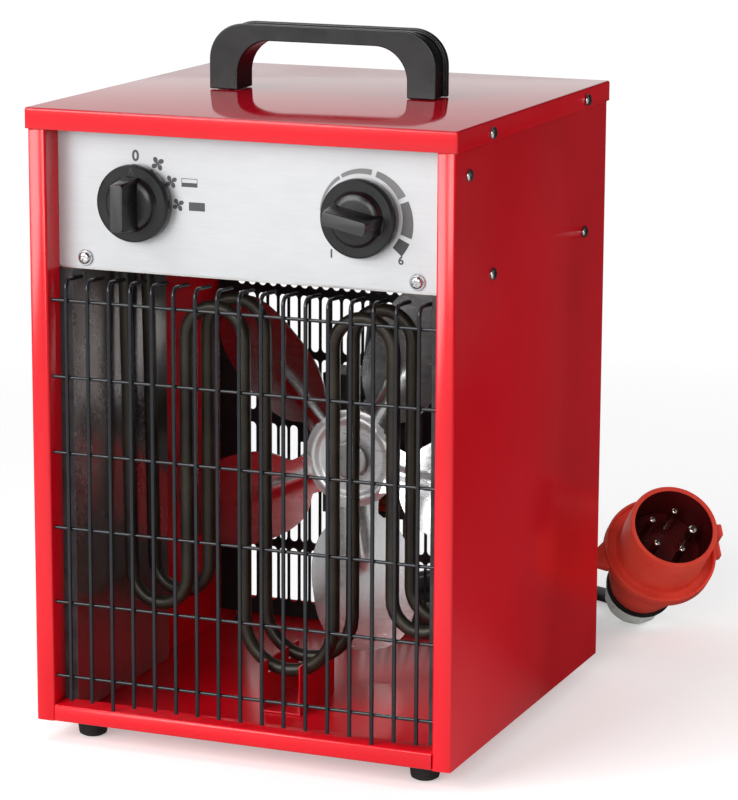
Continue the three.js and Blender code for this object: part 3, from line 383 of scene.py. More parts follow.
def atPlaces(name, mesh, places, material):
    # places: a point in millimetres and a rotation in radians for each copy
    points = meshFrom("places", [[c * mm for c in p] for p, _ in places], [])
    turns = points.attributes.new("turn", "FLOAT_VECTOR", "POINT")
    for item, (_, turn) in zip(turns.data, places):
        item.vector = turn
    source, spots = template(mesh), template(points)
    piece = grown(name, trees["places"], {"Template": source, "Places": spots, "Material": material})
    drop(source, spots)
    return piece


# Finishes

def newMaterial(name):
    material = bpy.data.materials.new(name)
    material.use_nodes = True
    tree = material.node_tree
    tree.nodes.clear()
    output = tree.nodes.new("ShaderNodeOutputMaterial")
    shader = tree.nodes.new("ShaderNodeBsdfPrincipled")
    tree.links.new(shader.outputs[0], output.inputs[0])
    return material, tree, shader


def coordinates(tree, stretch=(1, 1, 1)):
    source = tree.nodes.new("ShaderNodeTexCoord")
    mapping = tree.nodes.new("ShaderNodeMapping")
    mapping.inputs["Scale"].default_value = stretch
    tree.links.new(source.outputs["Object"], mapping.inputs["Vector"])
    return mapping.outputs[0]


def noise(tree, vector, scale, detail=4, roughness=0.6):
    node = tree.nodes.new("ShaderNodeTexNoise")
    node.inputs["Scale"].default_value = scale
    node.inputs["Detail"].default_value = detail
    node.inputs["Roughness"].default_value = roughness
    tree.links.new(vector, node.inputs["Vector"])
    return node.outputs["Fac"]


def spread(tree, value, low, high, fromLow=0.3, fromHigh=0.7):
    node = tree.nodes.new("ShaderNodeMapRange")
    for label, number in (("From Min", fromLow), ("From Max", fromHigh), ("To Min", low), ("To Max", high)):
        node.inputs[label].default_value = number
    tree.links.new(value, node.inputs["Value"])
    return node.outputs[0]


def shades(tree, value, stops):
    node = tree.nodes.new("ShaderNodeValToRGB")
    ramp = node.color_ramp
    while len(ramp.elements) < len(stops):
        ramp.elements.new(0.5)
    for element, (position, colour) in zip(ramp.elements, stops):
        element.position = position
        element.color = (*colour, 1)
    tree.links.new(value, node.inputs["Fac"])
    return node.outputs["Color"]


def bump(tree, shader, height, strength, distance):
    node = tree.nodes.new("ShaderNodeBump")
    node.inputs["Strength"].default_value = strength
    node.inputs["Distance"].default_value = distance * mm
    tree.links.new(height, node.inputs["Height"])
    tree.links.new(node.outputs[0], shader.inputs["Normal"])


def finish(name, colours, roughness, metallic=0, coat=0, patches=30, grain=900, grainDepth=0.02,
           grainStrength=0.3, stretch=(1, 1, 1), specular=0.5):
    # cloudy colour and gloss, with a fine grain on top
    material, tree, shader = newMaterial(name)
    where = coordinates(tree, stretch)
    cloud = noise(tree, where, patches)
    fine = noise(tree, where, grain, 2, 0.5)
    tree.links.new(shades(tree, cloud, [(0.3, colours[0]), (0.7, colours[1])]), shader.inputs["Base Color"])
    tree.links.new(spread(tree, cloud, *roughness), shader.inputs["Roughness"])
    shader.inputs["Metallic"].default_value = metallic
    shader.inputs["Coat Weight"].default_value = coat
    shader.inputs["Coat Roughness"].default_value = 0.06
    shader.inputs["Specular IOR Level"].default_value = specular
    bump(tree, shader, fine, grainStrength, grainDepth)
    return material


def spangled(name, colours, roughness, cell):
    # the faint flakes of a zinc coat under soft stains
    material, tree, shader = newMaterial(name)
    where = coordinates(tree)
    flakes = tree.nodes.new("ShaderNodeTexVoronoi")
    flakes.inputs["Scale"].default_value = cell
    tree.links.new(where, flakes.inputs["Vector"])
    tone = tree.nodes.new("ShaderNodeSeparateColor")
    tree.links.new(flakes.outputs["Color"], tone.inputs[0])
    cloud = noise(tree, coordinates(tree, (1, 1, 0.35)), 16, 3, 0.5)
    speckle = mathNode(tree, "MULTIPLY", tone.outputs[0], 0.06)
    mixed = mathNode(tree, "ADD", speckle, mathNode(tree, "MULTIPLY", cloud, 0.94))
    tree.links.new(shades(tree, mixed, [(0.3, colours[0]), (0.7, colours[1])]), shader.inputs["Base Color"])
    tree.links.new(spread(tree, mixed, *roughness), shader.inputs["Roughness"])
    shader.inputs["Metallic"].default_value = 0.95
    bump(tree, shader, cloud, 0.05, 0.02)
    return material


def brushed(name, colours, roughness, stretch, metallic=1.0, strength=0.12):
    # long fine scratches along one axis
    material, tree, shader = newMaterial(name)
    lines = noise(tree, coordinates(tree, stretch), 60, 6, 0.75)
    cloud = noise(tree, coordinates(tree), 14, 3)
    scratches = mathNode(tree, "MULTIPLY", lines, 0.6)
    both = mathNode(tree, "ADD", scratches, mathNode(tree, "MULTIPLY", cloud, 0.4))
    tones = shades(tree, both, [(0.35, colours[0]), (0.65, colours[1])])
    tree.links.new(tones, shader.inputs["Base Color"])
    tree.links.new(spread(tree, both, *roughness), shader.inputs["Roughness"])
    shader.inputs["Metallic"].default_value = metallic
    bump(tree, shader, lines, strength, 0.02)
    return material


finishes = {
    "redPaint": finish("redPaint", [(0.66, 0.002, 0.010), (0.74, 0.004, 0.014)], (0.2, 0.27), patches=9,
                       grain=520, grainDepth=0.02, grainStrength=0.06),
    # the lid's top: the same red paint, darker as painted shade
    "shadedLidPaint": finish("shadedLidPaint", [(0.42, 0.002, 0.012), (0.50, 0.004, 0.018)], (0.05, 0.1), patches=9,
                       grain=520, grainDepth=0.012, grainStrength=0.04),
    "insideRed": finish("insideRed", [(0.54, 0.003, 0.012), (0.64, 0.005, 0.016)], (0.16, 0.24),
                        patches=16, grain=520, grainDepth=0.02, grainStrength=0.06, specular=0.4),
    "blackPaint": finish("blackPaint", [(0.008, 0.008, 0.009), (0.014, 0.014, 0.015)], (0.38, 0.52),
                         patches=40, grain=1400, grainDepth=0.02, grainStrength=0.25, specular=0.25),
    "zinc": spangled("zinc", [(0.46, 0.45, 0.44), (0.64, 0.63, 0.615)], (0.2, 0.3), 420),
    "panelPlate": brushed("panelPlate", [(0.49, 0.498, 0.51), (0.55, 0.558, 0.57)], (0.36, 0.46),
                          (1, 1, 18), metallic=0.5, strength=0.05),
    "blackPlastic": finish("blackPlastic", [(0.004, 0.004, 0.0045), (0.008, 0.008, 0.009)], (0.24, 0.34),
                           patches=60, grain=2600, grainDepth=0.03, grainStrength=0.2, specular=0.4),
    # lighter black plastic for the pointer mark; on the grip's end it is a painted highlight
    "satinSheenPlastic": finish("satinSheenPlastic", [(0.026, 0.026, 0.027), (0.040, 0.040, 0.041)], (0.42, 0.55),
                           patches=80, grain=2200, grainDepth=0.05, grainStrength=0.4, specular=0.4),
    "brightSteel": brushed("brightSteel", [(0.42, 0.42, 0.43), (0.62, 0.62, 0.63)], (0.14, 0.28),
                           (1, 9, 1)),
    "darkWire": finish("darkWire", [(0.004, 0.005, 0.007), (0.009, 0.012, 0.016)], (0.14, 0.22), patches=90,
                       grain=700, grainDepth=0.02, grainStrength=0.1, specular=0.4),
    "elementSteel": finish("elementSteel", [(0.010, 0.008, 0.006), (0.044, 0.036, 0.025)], (0.3, 0.46),
                           metallic=0.5, patches=26, grain=1200, grainDepth=0.02, grainStrength=0.3),
    "fanSheet": brushed("fanSheet", [(0.58, 0.585, 0.59), (0.80, 0.805, 0.81)], (0.14, 0.30), (1, 1, 7),
                        strength=0.06),
    "hubSteel": brushed("hubSteel", [(0.66, 0.66, 0.66), (0.78, 0.78, 0.78)], (0.24, 0.36), (1, 1, 5),
                        metallic=0.5, strength=0.04),
    "clipSteel": finish("clipSteel", [(0.30, 0.31, 0.30), (0.42, 0.43, 0.42)], (0.26, 0.38), metallic=0.6,
                        patches=90, grain=1400),
    "rubber": finish("rubber", [(0.008, 0.008, 0.008), (0.018, 0.018, 0.018)], (0.6, 0.8), patches=70,
                     grain=1800, grainDepth=0.06, grainStrength=0.4, specular=0.3),
    "motorSteel": finish("motorSteel", [(0.02, 0.02, 0.022), (0.06, 0.058, 0.06)], (0.35, 0.6),
                         metallic=0.6, patches=80, grain=900),
    "winding": finish("winding", [(0.30, 0.10, 0.03), (0.50, 0.19, 0.07)], (0.25, 0.4), metallic=0.7,
                      patches=60, grain=500, grainDepth=0.2, grainStrength=0.5, stretch=(1, 1, 12)),
    "whitePlastic": finish("whitePlastic", [(0.62, 0.60, 0.53), (0.70, 0.68, 0.62)], (0.4, 0.55),
                           patches=50, grain=1500),
    "copper": brushed("copper", [(0.52, 0.22, 0.10), (0.68, 0.33, 0.18)], (0.22, 0.4), (8, 1, 1)),
    "cordRubber": finish("cordRubber", [(0.014, 0.016, 0.016), (0.03, 0.034, 0.033)], (0.42, 0.6),
                         patches=50, grain=1600, grainDepth=0.04, grainStrength=0.35),
    "plugRed": finish("plugRed", [(0.78, 0.060, 0.036), (0.86, 0.085, 0.052)], (0.24, 0.36), coat=0.1,
                      patches=35, grain=1100, grainDepth=0.03, grainStrength=0.2, specular=0.3),
    "plugDark": finish("plugDark", [(0.075, 0.004, 0.005), (0.12, 0.007, 0.008)], (0.32, 0.45), patches=60,
                       grain=1200, specular=0.25),
    "pinMetal": brushed("pinMetal", [(0.72, 0.70, 0.58), (0.88, 0.86, 0.76)], (0.1, 0.22), (1, 6, 1)),
    "paleNut": finish("paleNut", [(0.80, 0.88, 0.82), (0.88, 0.94, 0.89)], (0.28, 0.42), coat=0.2,
                      patches=40, grain=1000),
    "scaleInk": finish("scaleInk", [(0.045, 0.045, 0.048), (0.06, 0.06, 0.064)], (0.45, 0.6), patches=200,
                       grain=2500, grainDepth=0.005),
}
inkTones = {"palest": 0.19, "pale": 0.16, "middle": 0.09, "dark": 0.035}
for label, tone in inkTones.items():
    tones = [(tone, tone, tone), (tone * 1.15, tone * 1.15, tone * 1.17)]
    finishes["ink" + label] = finish("ink" + label, tones, (0.45, 0.6), patches=200, grain=2500,
                                     grainDepth=0.005)
stageDone("finishes ready")

# Camera

cameraView = {"place": (0.750, -1.77825, 0.603), "yaw": 22.07, "pitch": 12.086, "roll": 0.27,
              "lens": 150.26}

cameraData = bpy.data.cameras.new("camera")
cameraData.sensor_fit = "VERTICAL"
cameraData.sensor_height = 36
cameraData.lens = cameraView["lens"]
cameraData.clip_end = 60
camera = bpy.data.objects.new("camera", cameraData)
scene.collection.objects.link(camera)
camera.matrix_world = (
    Matrix.Translation(cameraView["place"])
    @ Matrix.Rotation(math.radians(cameraView["yaw"]), 4, "Z")
    @ Matrix.Rotation(math.radians(90 - cameraView["pitch"]), 4, "X")
    @ Matrix.Rotation(math.radians(cameraView["roll"]), 4, "Z"))
scene.camera = camera

# Cord: from the gland to the floor, round the coil, and on to the plug

cord = {
    "radius": 4.75,
    "lead": [
        (-45, 156.6, 313), (-45, 165.3, 313), (-45, 175.2, 311.7), (-45, 184.4, 307.9), (-45, 192.3, 301.9),
        (-45, 198.4, 294.1), (-45, 202.4, 284.9), (-45, 203.8, 275.1), (-45, 202.7, 265.2),
        (-45, 192.3, 223.5), (-45, 181.9, 181.9), (-45, 171.5, 140.3), (-45, 161.1, 98.6), (-45, 150.7, 57),
        (-45, 149.5, 46.2), (-45, 151.1, 35.4), (-45, 155.3, 25.4), (-45, 162, 16.9), (-45, 170.7, 10.3),
        (-45, 180.7, 6.2), (-45, 191.5, 4.8), (-45, 203.2, 4.8)],
    "coilCentre": (11, 213, 4.8), "coilRadius": 56, "coilPitch": 10.4, "coilLayer": 10.2,
    "inTurns": 1.35, "climbTurns": 0.5, "turns": 3.1856, "coilSteps": 76,
    "tail": [
        (-2.12, 268.45, 15), (1.51, 270.13, 15), (5.2, 271.9, 14.6), (12.5, 275.3, 12.7),
        (19.9, 278.7, 10.5), (27.2, 282.1, 8.2), (34.5, 285.5, 6.2), (41.9, 288.9, 5),
        (51.8, 292.1, 4.8), (62.2, 293, 4.8),
        (72.5, 291.5, 4.8), (82.2, 287.6, 4.8), (90.7, 281.7, 4.8), (97.7, 273.9, 4.8), (101.7, 268.2, 5.4),
        (105.5, 262.7, 7.2), (109.1, 257.5, 9.9), (111.11, 254.7, 12.18), (112.87, 252.19, 14.75)],
    "length": 1.5, "parts": 3,
}


def coilPoint(turn):
    climb = min(max((turn - cord["inTurns"]) / cord["climbTurns"], 0), 1)
    pitch = cord["coilPitch"]
    radius = cord["coilRadius"] - pitch * min(turn, cord["inTurns"])
    radius -= pitch * cord["climbTurns"] * climb * (1 - climb)
    radius += pitch * max(turn - cord["inTurns"] - cord["climbTurns"], 0)
    angle = math.pi - 2 * math.pi * turn
    x, y, z = cord["coilCentre"]
    z += cord["coilLayer"] * climb * climb * (3 - 2 * climb)
    return (x + radius * math.cos(angle), y + radius * math.sin(angle), z)


def smoothPath(points, parts):
    # a curve through all the points, cut into short steps
    spots = [Vector(p) for p in points]
    result = []
    for i in range(len(spots) - 1):
        a = spots[max(i - 1, 0)]
        b, c = spots[i], spots[i + 1]
        d = spots[min(i + 2, len(spots) - 1)]
        m1 = (c - a) * ((c - b).length / max((c - b).length + (b - a).length, 1e-9))
        m2 = (d - b) * ((c - b).length / max((c - b).length + (d - c).length, 1e-9))
        for k in range(parts):
            t = k / parts
            result.append((2 * t**3 - 3 * t**2 + 1) * b + (t**3 - 2 * t**2 + t) * m1
                          + (3 * t**2 - 2 * t**3) * c + (t**3 - t**2) * m2)
    lowest = min(spot.z for spot in spots)
    return [Vector((p.x, p.y, max(p.z, lowest))) for p in result] + [spots[-1]]


coilPoints = [coilPoint(cord["turns"] * i / cord["coilSteps"]) for i in range(cord["coilSteps"] + 1)]
cordPoints = smoothPath(cord["lead"] + coilPoints + cord["tail"], cord["parts"])
cordCurve = bpy.data.curves.new("powerCord", "CURVE")
cordCurve.dimensions = "3D"
spline = cordCurve.splines.new("POLY")
spline.points.add(len(cordPoints) - 1)
for point, spot in zip(spline.points, cordPoints):
    point.co = (spot.x * mm, spot.y * mm + shiftY, spot.z * mm, 1)
cordCurve.bevel_depth = cord["radius"] * mm
cordCurve.bevel_resolution = 5
cordCurve.use_fill_caps = True
powerCord = newObject("powerCord", cordCurve)
place(powerCord, "case", finishes["cordRubber"], "cord_rubber",
      "power_cord_lead", "power_cord_coil", "power_cord_tail")
stageDone("camera and cord")

# Floor and light

studio = {
    "floorReach": 30, "floorTone": 0.84, "floorLift": 0.34, "fadeFrom": 0.4, "fadeTo": 1.15,
    "skyLevel": 0.29, "glossLevel": 0.85, "glossLow": 0.03, "glossFrom": -0.3, "glossTo": -0.02,
    "dimBehind": 0.96, "dimFrom": -0.35, "dimTo": 0.1,
}
lamps = {
    "keyLight": {"spot": (-1.3, -2.4, 1.45), "target": (0, 0, 0.2), "size": (1.8, 1.8), "power": 78},
    "frontLight": {"spot": (0.42, -2.5, 0.9), "target": (0.15, 0, 0.2), "size": (0.9, 0.9), "power": 22},
    "fillLight": {"spot": (2.6, -0.4, 1.5), "target": (0, 0, 0.2), "size": (1.6, 2.0), "power": 3},
    "topLight": {"spot": (-0.9, -0.6, 2.4), "target": (0, 0, 0.4), "size": (1.0, 0.4), "power": 8},
    "sideLight": {"spot": (0.6, 0.5, 0.38), "target": (0.13, 0.13, 0.2), "size": (0.3, 0.3), "power": 1.6},
}

floorMaterial, floorTree, floorShader = newMaterial("paleFloor")
floorShader.inputs["Roughness"].default_value = 0.9
floorShader.inputs["Specular IOR Level"].default_value = 0.1
floorShader.inputs["Emission Color"].default_value = (1, 1, 1, 1)
rays = floorTree.nodes.new("ShaderNodeLightPath")
seen = mathNode(floorTree, "MAXIMUM", rays.outputs["Is Camera Ray"], rays.outputs["Is Glossy Ray"])
distance = floorTree.nodes.new("ShaderNodeVectorMath")
distance.operation = "LENGTH"
floorTree.links.new(coordinates(floorTree), distance.inputs[0])
far = spread(floorTree, distance.outputs["Value"], 0, 1, studio["fadeFrom"], studio["fadeTo"])
# mirrored in a side, the floor behind the heater is dim
split = floorTree.nodes.new("ShaderNodeSeparateXYZ")
floorTree.links.new(coordinates(floorTree), split.inputs[0])
behind = spread(floorTree, split.outputs["Y"], 0, studio["dimBehind"], studio["dimFrom"], studio["dimTo"])
dimmed = mathNode(floorTree, "MULTIPLY", rays.outputs["Is Glossy Ray"], behind)
share = mathNode(floorTree, "SUBTRACT", 1, dimmed)
tone = studio["floorTone"]
toned = floorTree.nodes.new("ShaderNodeVectorMath")
toned.operation = "SCALE"
floorTree.links.new(shades(floorTree, far, [(0, (tone,) * 3), (1, (0, 0, 0))]), toned.inputs[0])
floorTree.links.new(share, toned.inputs["Scale"])
floorTree.links.new(toned.outputs[0], floorShader.inputs["Base Color"])
lift = mathNode(floorTree, "MULTIPLY", spread(floorTree, far, studio["floorLift"], 1, 0, 1), share)
floorTree.links.new(mathNode(floorTree, "MULTIPLY", seen, lift), floorShader.inputs["Emission Strength"])
reach = studio["floorReach"]
corners = [(-reach, -reach, 0), (reach, -reach, 0), (reach, reach, 0), (-reach, reach, 0)]
floor = newObject("floor", meshFrom("floor", corners, [(0, 1, 2, 3)]))
floor.data.materials.append(floorMaterial)

world = bpy.data.worlds.new("studio")
scene.world = world
world.use_nodes = True
sky = world.node_tree
background = sky.nodes["Background"]
background.inputs["Color"].default_value = (1, 1, 1, 1)
skyRays = sky.nodes.new("ShaderNodeLightPath")
skySeen = mathNode(sky, "MAXIMUM", skyRays.outputs["Is Camera Ray"], skyRays.outputs["Is Transmission Ray"])
# mirrored in a side, the right half of the sky is dim too
toward = sky.nodes.new("ShaderNodeTexCoord")
skySplit = sky.nodes.new("ShaderNodeSeparateXYZ")
sky.links.new(toward.outputs["Generated"], skySplit.inputs[0])
level = spread(sky, skySplit.outputs["X"], studio["glossLevel"], studio["glossLow"],
               studio["glossFrom"], studio["glossTo"])
glossy = mathNode(sky, "MULTIPLY", skyRays.outputs["Is Glossy Ray"], level)
bright = mathNode(sky, "MAXIMUM", skySeen, glossy)
diffuse = mathNode(sky, "MULTIPLY", skyRays.outputs["Is Diffuse Ray"], studio["skyLevel"])
sky.links.new(mathNode(sky, "MAXIMUM", bright, diffuse), background.inputs["Strength"])


def softLight(name, spot, target, size, power):
    data = bpy.data.lights.new(name, "AREA")
    data.shape = "RECTANGLE"
    data.size, data.size_y = size
    data.energy = power
    lamp = bpy.data.objects.new(name, data)
    scene.collection.objects.link(lamp)
    lamp.location = spot
    lamp.rotation_euler = (Vector(target) - Vector(spot)).to_track_quat("-Z", "Y").to_euler()
    return lamp


for name, values in lamps.items():
    lamp = softLight(name, **values)
lamp.visible_glossy = False  # the last one stands near the heater, so it isn't seen
lamp.visible_camera = False
scene.view_settings.view_transform = "Standard"
stageDone("floor and light")

# Case: bent sheets for the two sides, the floor and the lid

case = {
    "half": 128.7, "sheet": 1.0, "low": 13, "high": 369.7, "opening": 117.5, "returnDepth": 15.4,
    "rearFlange": 11, "ledge": 10, "rearLip": 12, "fold": 1.5, "foldSteps": 4, "gap": 0.3,
}


def bentSheet(name, line, axis, low, high):
    # a line of corners pushed along an axis, its folds rounded; thickened gives it the sheet's thickness
    # inwards
    points = []
    for end in (low, high):
        for a, b in line:
            points.append((a, b + shiftY / mm, end) if axis == "z" else (end, a + shiftY / mm, b))
    count = len(line)
    faces = [(i, i + 1, i + 1 + count, i + count) for i in range(count - 1)]
    mesh = meshFrom(name, [[c * mm for c in p] for p in points], faces)
    piece = newObject(name, mesh)
    bevelled(piece, case["fold"], case["foldSteps"], 60)
    piece.modifiers["softEdges"].harden_normals = False
    return piece


def thickened(piece, thickness):
    solidify = piece.modifiers.new("sheet", "SOLIDIFY")
    solidify.thickness = thickness * mm
    solidify.offset = -1
    bevelled(piece, 0.18, 2, 70).modifiers[-1].name = "cutEdges"
    applied(piece)
    piece.data.shade_smooth()
    piece.data.set_sharp_from_angle(angle=math.radians(40))
    return piece


def makeCase():
    half, opening, t = case["half"], case["opening"], case["sheet"]
    back = -half + case["returnDepth"]
    meshes = []
    for side in (1, -1):
        line = [(opening, back), (opening, -half), (half, -half), (half, half),
                (half - case["rearFlange"], half)]
        line = [(side * x, y) for x, y in line]
        wall = bentSheet("caseWall", line if side > 0 else line[::-1], "z", case["low"], case["high"])
        meshes.append(thickened(wall, t).data)
        drop(wall)
    low = case["low"]
    line = [(back, low + case["ledge"]), (-half, low + case["ledge"]), (-half, low), (half, low),
            (half, low + case["rearLip"])]
    inner = opening - case["gap"]
    floorSheet = bentSheet("caseFloor", line, "x", -inner, inner)
    meshes.append(thickened(floorSheet, t).data)
    drop(floorSheet)
    for side in (-1, 1):
        x0, x1 = sorted((side * inner, side * (half - t - 0.02)))
        y = shiftY / mm
        meshes.append(boxMesh(x0, x1, -half + t + y, half - t + y, low, low + t))
    return newObject("caseShell", joined("caseShell", meshes, 40))


place(makeCase(), "case", finishes["redPaint"], "red_paint", "case_shell")

lid = {"half": 130, "low": 359, "high": 371, "sheet": 1.0, "fold": 1.5}


def makeLid():
    half, y = lid["half"], shiftY / mm
    mesh = boxMesh(-half, half, -half + y, half + y, lid["low"], lid["high"])
    work = bmesh.new()
    work.from_mesh(mesh)
    under = [f for f in work.faces if f.normal.z < -0.5]
    bmesh.ops.delete(work, geom=under, context="FACES_ONLY")
    work.to_mesh(mesh)
    work.free()
    piece = bevelled(newObject("topCover", mesh), lid["fold"], 5, 60)
    piece.modifiers["softEdges"].harden_normals = False
    return thickened(piece, lid["sheet"])


topCover = place(makeLid(), "case", finishes["shadedLidPaint"], "red_paint", "top_cover")
paintFaces(topCover, finishes["redPaint"], lambda face: face.normal.z < 0.7)  # its rims in the plain red paint; the darker top is painted shade
stageDone("case and lid")

# Rear panel with its slots

rearPanel = {
    "halfX": 127.4, "front": 126.4, "back": 127.4, "low": 14.3, "high": 369.4, "slot": (5.5, 36),
    "slotSteps": 7, "cut": 1.5, "columns": 32, "rows": 3, "pitch": (7.25, 40.5), "centre": 144.85,
    "middleBar": 8.1, "hole": (-45, 313, 8.3), "holeSides": 32,
}


def makeRearPanel():
    s, y = rearPanel, shiftY / mm
    plate = template(boxMesh(-s["halfX"], s["halfX"], s["front"] + y, s["back"] + y, s["low"], s["high"]))
    wide, tall = s["slot"][0] / 2, s["slot"][1] / 2
    outline = []
    for i in range(s["slotSteps"] + 1):
        angle = math.pi * i / s["slotSteps"]
        outline.append((wide * math.cos(angle), tall - wide + wide * math.sin(angle)))
    outline += [(-x, -z) for x, z in outline]
    slot = template(prismMesh(outline, -s["cut"], s["cut"]))
    x, z, radius = s["hole"]
    angles = [2 * math.pi * i / s["holeSides"] for i in range(s["holeSides"])]
    ring = [(x + radius * math.cos(a), z + radius * math.sin(a)) for a in angles]
    hole = template(prismMesh(ring, s["front"] + y - 1, s["back"] + y + 1))
    middle = (s["front"] + s["back"]) / 2 + y
    reach = s["middleBar"] / 2 + tall + (s["rows"] - 1) / 2 * s["pitch"][1]
    piece = grown("rearPanel", trees["slotted"], {
        "Plate": plate, "Slot": slot, "Hole": hole, "Columns": s["columns"], "Rows": s["rows"],
        "Pitch X": s["pitch"][0] * mm, "Pitch Z": s["pitch"][1] * mm,
        "Low": (0, middle * mm, (s["centre"] - reach) * mm),
        "High": (0, middle * mm, (s["centre"] + reach) * mm), "Material": finishes["blackPaint"]})
    drop(plate, slot, hole)
    return piece


place(makeRearPanel(), "case", finishes["blackPaint"], "black_paint", "rear_grille")

# Front grille

wires = {
    "count": 17, "pitch": 13.4, "radius": 1.2, "y": -126.2, "foot": 26, "longFoot": 20.5, "top": 273.5,
    "bend": 5, "bendSteps": 6, "hook": 20, "crossCount": 6, "crossRadius": 1.0, "crossSet": 1.6,
    "crossReach": 117.2,
    "crossLow": 40, "crossPitch": 44.3,
}


def wirePath(foot):
    w = wires
    points = [(0, w["y"], foot)]
    for i in range(w["bendSteps"] + 1):
        angle = math.pi / 2 * i / w["bendSteps"]
        points.append((0, w["y"] + w["bend"] * (1 - math.cos(angle)),
                       w["top"] - w["bend"] * (1 - math.sin(angle))))
    points.append((0, w["y"] + w["hook"], w["top"] - 1))
    return [(x, y + shiftY / mm, z) for x, y, z in points]


def makeFrontGrille():
    w = wires
    y = shiftY / mm
    first = -(w["count"] - 1) / 2 * w["pitch"]
    upright = rowOf("uprights", tubeMesh(wirePath(w["foot"]), w["radius"]), w["count"], (first, 0, 0),
                    (w["pitch"], 0, 0), finishes["darkWire"])
    low = [(0, w["y"] + y, w["longFoot"]), (0, w["y"] + y, w["foot"] + 4)]
    longer = rowOf("longFeet", tubeMesh(low, w["radius"] * 0.998), 2, (first + 2 * w["pitch"], 0, 0),
                   (12 * w["pitch"], 0, 0), finishes["darkWire"])
    path = [(x, w["y"] + w["crossSet"] + y, 0) for x in (-w["crossReach"], w["crossReach"])]
    across = rowOf("crossWires", tubeMesh(path, w["crossRadius"]), w["crossCount"], (0, 0, w["crossLow"]),
                   (0, 0, w["crossPitch"]), finishes["darkWire"])
    piece = newObject("frontGrille", joined("frontGrille", [upright.data, longer.data, across.data], 50))
    drop(upright, longer, across)
    return piece


place(makeFrontGrille(), "case", finishes["darkWire"], "dark_wire", "front_grille")
stageDone("grilles")

# Control panel, its print and what stands behind it

panelPlate = fromNode("controlPanel", "control_panel", 0.25)
place(panelPlate, "case", finishes["panelPlate"], "brushed_plate", "control_panel")
shelf = fromNode("controlShelf", "control_shelf", 0.25)
place(shelf, "case", finishes["zinc"], "galvanised", "control_shelf")
for name, node in (("shieldLeft", "heat_shield_left"), ("shieldRight", "heat_shield_right")):
    shield = place(fromNode(name, node, 0.2), "case", finishes["zinc"], "galvanised", node)
    paintFaces(shield, finishes["motorSteel"], lambda face: face.normal.y < -0.9)  # the lips facing the room get a dark finish as painted shade
bracket = fromNode("elementBracket", "element_bracket", 0.25)
place(bracket, "case", finishes["insideRed"], "dark_red_paint", "element_bracket")

panelPrint = {
    "face": -113.0, "thickness": 0.06, "knobs": (-68, 68, 318.7), "scaleInner": 24.0,
    "outer": [(170, 25.1), (124, 26.0), (75, 27.3), (25, 29.0), (-19, 31.0), (-41, 31.0)],
    "segments": [(175, 122, "palest"), (119, 77, "palest"), (71, 27, "pale"), (21, -19.5, "middle"),
                 (-25, -40.7, "dark")],
}


def outerRadius(angle):
    stops = panelPrint["outer"]
    for (a0, r0), (a1, r1) in zip(stops, stops[1:]):
        if a0 >= angle >= a1:
            return r0 + (r1 - r0) * (a0 - angle) / (a0 - a1)
    return stops[0][1] if angle > stops[0][0] else stops[-1][1]


def printed(name, outlines, inkName):
    y = panelPrint["face"] + shiftY / mm
    meshes = [prismMesh(outline, y - panelPrint["thickness"], y + 0.02) for outline in outlines]
    return place(newObject(name, joined(name, meshes)), "case", finishes[inkName], "black_plastic")


def scaleOutline(start, end):
    x, z = panelPrint["knobs"][1:]
    steps = max(int((start - end) / 3), 2)
    angles = [start + (end - start) * i / steps for i in range(steps + 1)]
    ring = [(outerRadius(a), a) for a in angles] + [(panelPrint["scaleInner"], a) for a in reversed(angles)]
    return [(x + r * math.cos(math.radians(a)), z + r * math.sin(math.radians(a))) for r, a in ring]


for i, (start, end, tone) in enumerate(panelPrint["segments"]):
    printed(f"scaleMark{i + 1}", [scaleOutline(start, end)], "ink" + tone)


def fanSign(x, z, size):
    # four small blades round a middle dot
    dot = [2 * math.pi * i / 12 for i in range(12)]
    outlines = [[(x + size * 0.13 * math.cos(a), z + size * 0.13 * math.sin(a)) for a in dot]]
    for k in range(4):
        turn = math.radians(20 + 90 * k)
        blade = []
        for angle in dot:
            u = size * (0.34 + 0.26 * math.cos(angle))
            v = size * (0.08 + 0.2 * math.sin(angle))
            blade.append((x + u * math.cos(turn) - v * math.sin(turn),
                          z + u * math.sin(turn) + v * math.cos(turn)))
        outlines.append(blade)
    return outlines


def rectangle(x0, x1, z0, z1):
    return [(x0, z0), (x1, z0), (x1, z1), (x0, z1)]


def barSign(x, z, share):
    # a frame, filled from below to the share given
    w, h, line = 4.9, 2.4, 0.35
    outlines = [rectangle(x - w, x + w, z - h, z - h + 2 * h * share)]
    if share < 1:
        top = z + h - line
        outlines += [rectangle(x - w, x + w, top, z + h), rectangle(x - w, x - w + line, z, top),
                     rectangle(x + w - line, x + w, z, top)]
    return outlines


signs = fanSign(-55.3, 341.1, 7) + fanSign(-47.0, 331.4, 6.4) + fanSign(-42.8, 318.7, 6.4)
printed("selectorSigns", signs, "scaleInk")
printed("powerSigns", barSign(-35.8, 331.4, 0.5) + barSign(-31.3, 318.2, 1), "scaleInk")


def number(name, words, x, z, height):
    data = bpy.data.curves.new(name, "FONT")
    data.body = words
    data.size = height * 1.42 * mm
    data.align_x = "CENTER"
    data.align_y = "CENTER"
    data.extrude = 0.03 * mm
    data.offset = height * 0.045 * mm
    words = newObject("words", data)
    mesh = bpy.data.meshes.new_from_object(words.evaluated_get(bpy.context.evaluated_depsgraph_get()))
    drop(words)
    y = panelPrint["face"] * mm + shiftY
    mesh.transform(Matrix.Translation((x * mm, y, z * mm)) @ Matrix.Rotation(math.pi / 2, 4, "X"))
    return place(newObject(name, mesh), "case", finishes["scaleInk"], "black_plastic")


number("selectorZero", "0", -69.0, 344.6, 6.0)
number("scaleLow", "1", 50.0, 297.2, 4.6)
number("scaleHigh", "6", 91.1, 296.1, 4.6)
stageDone("panel and print")

# Knobs

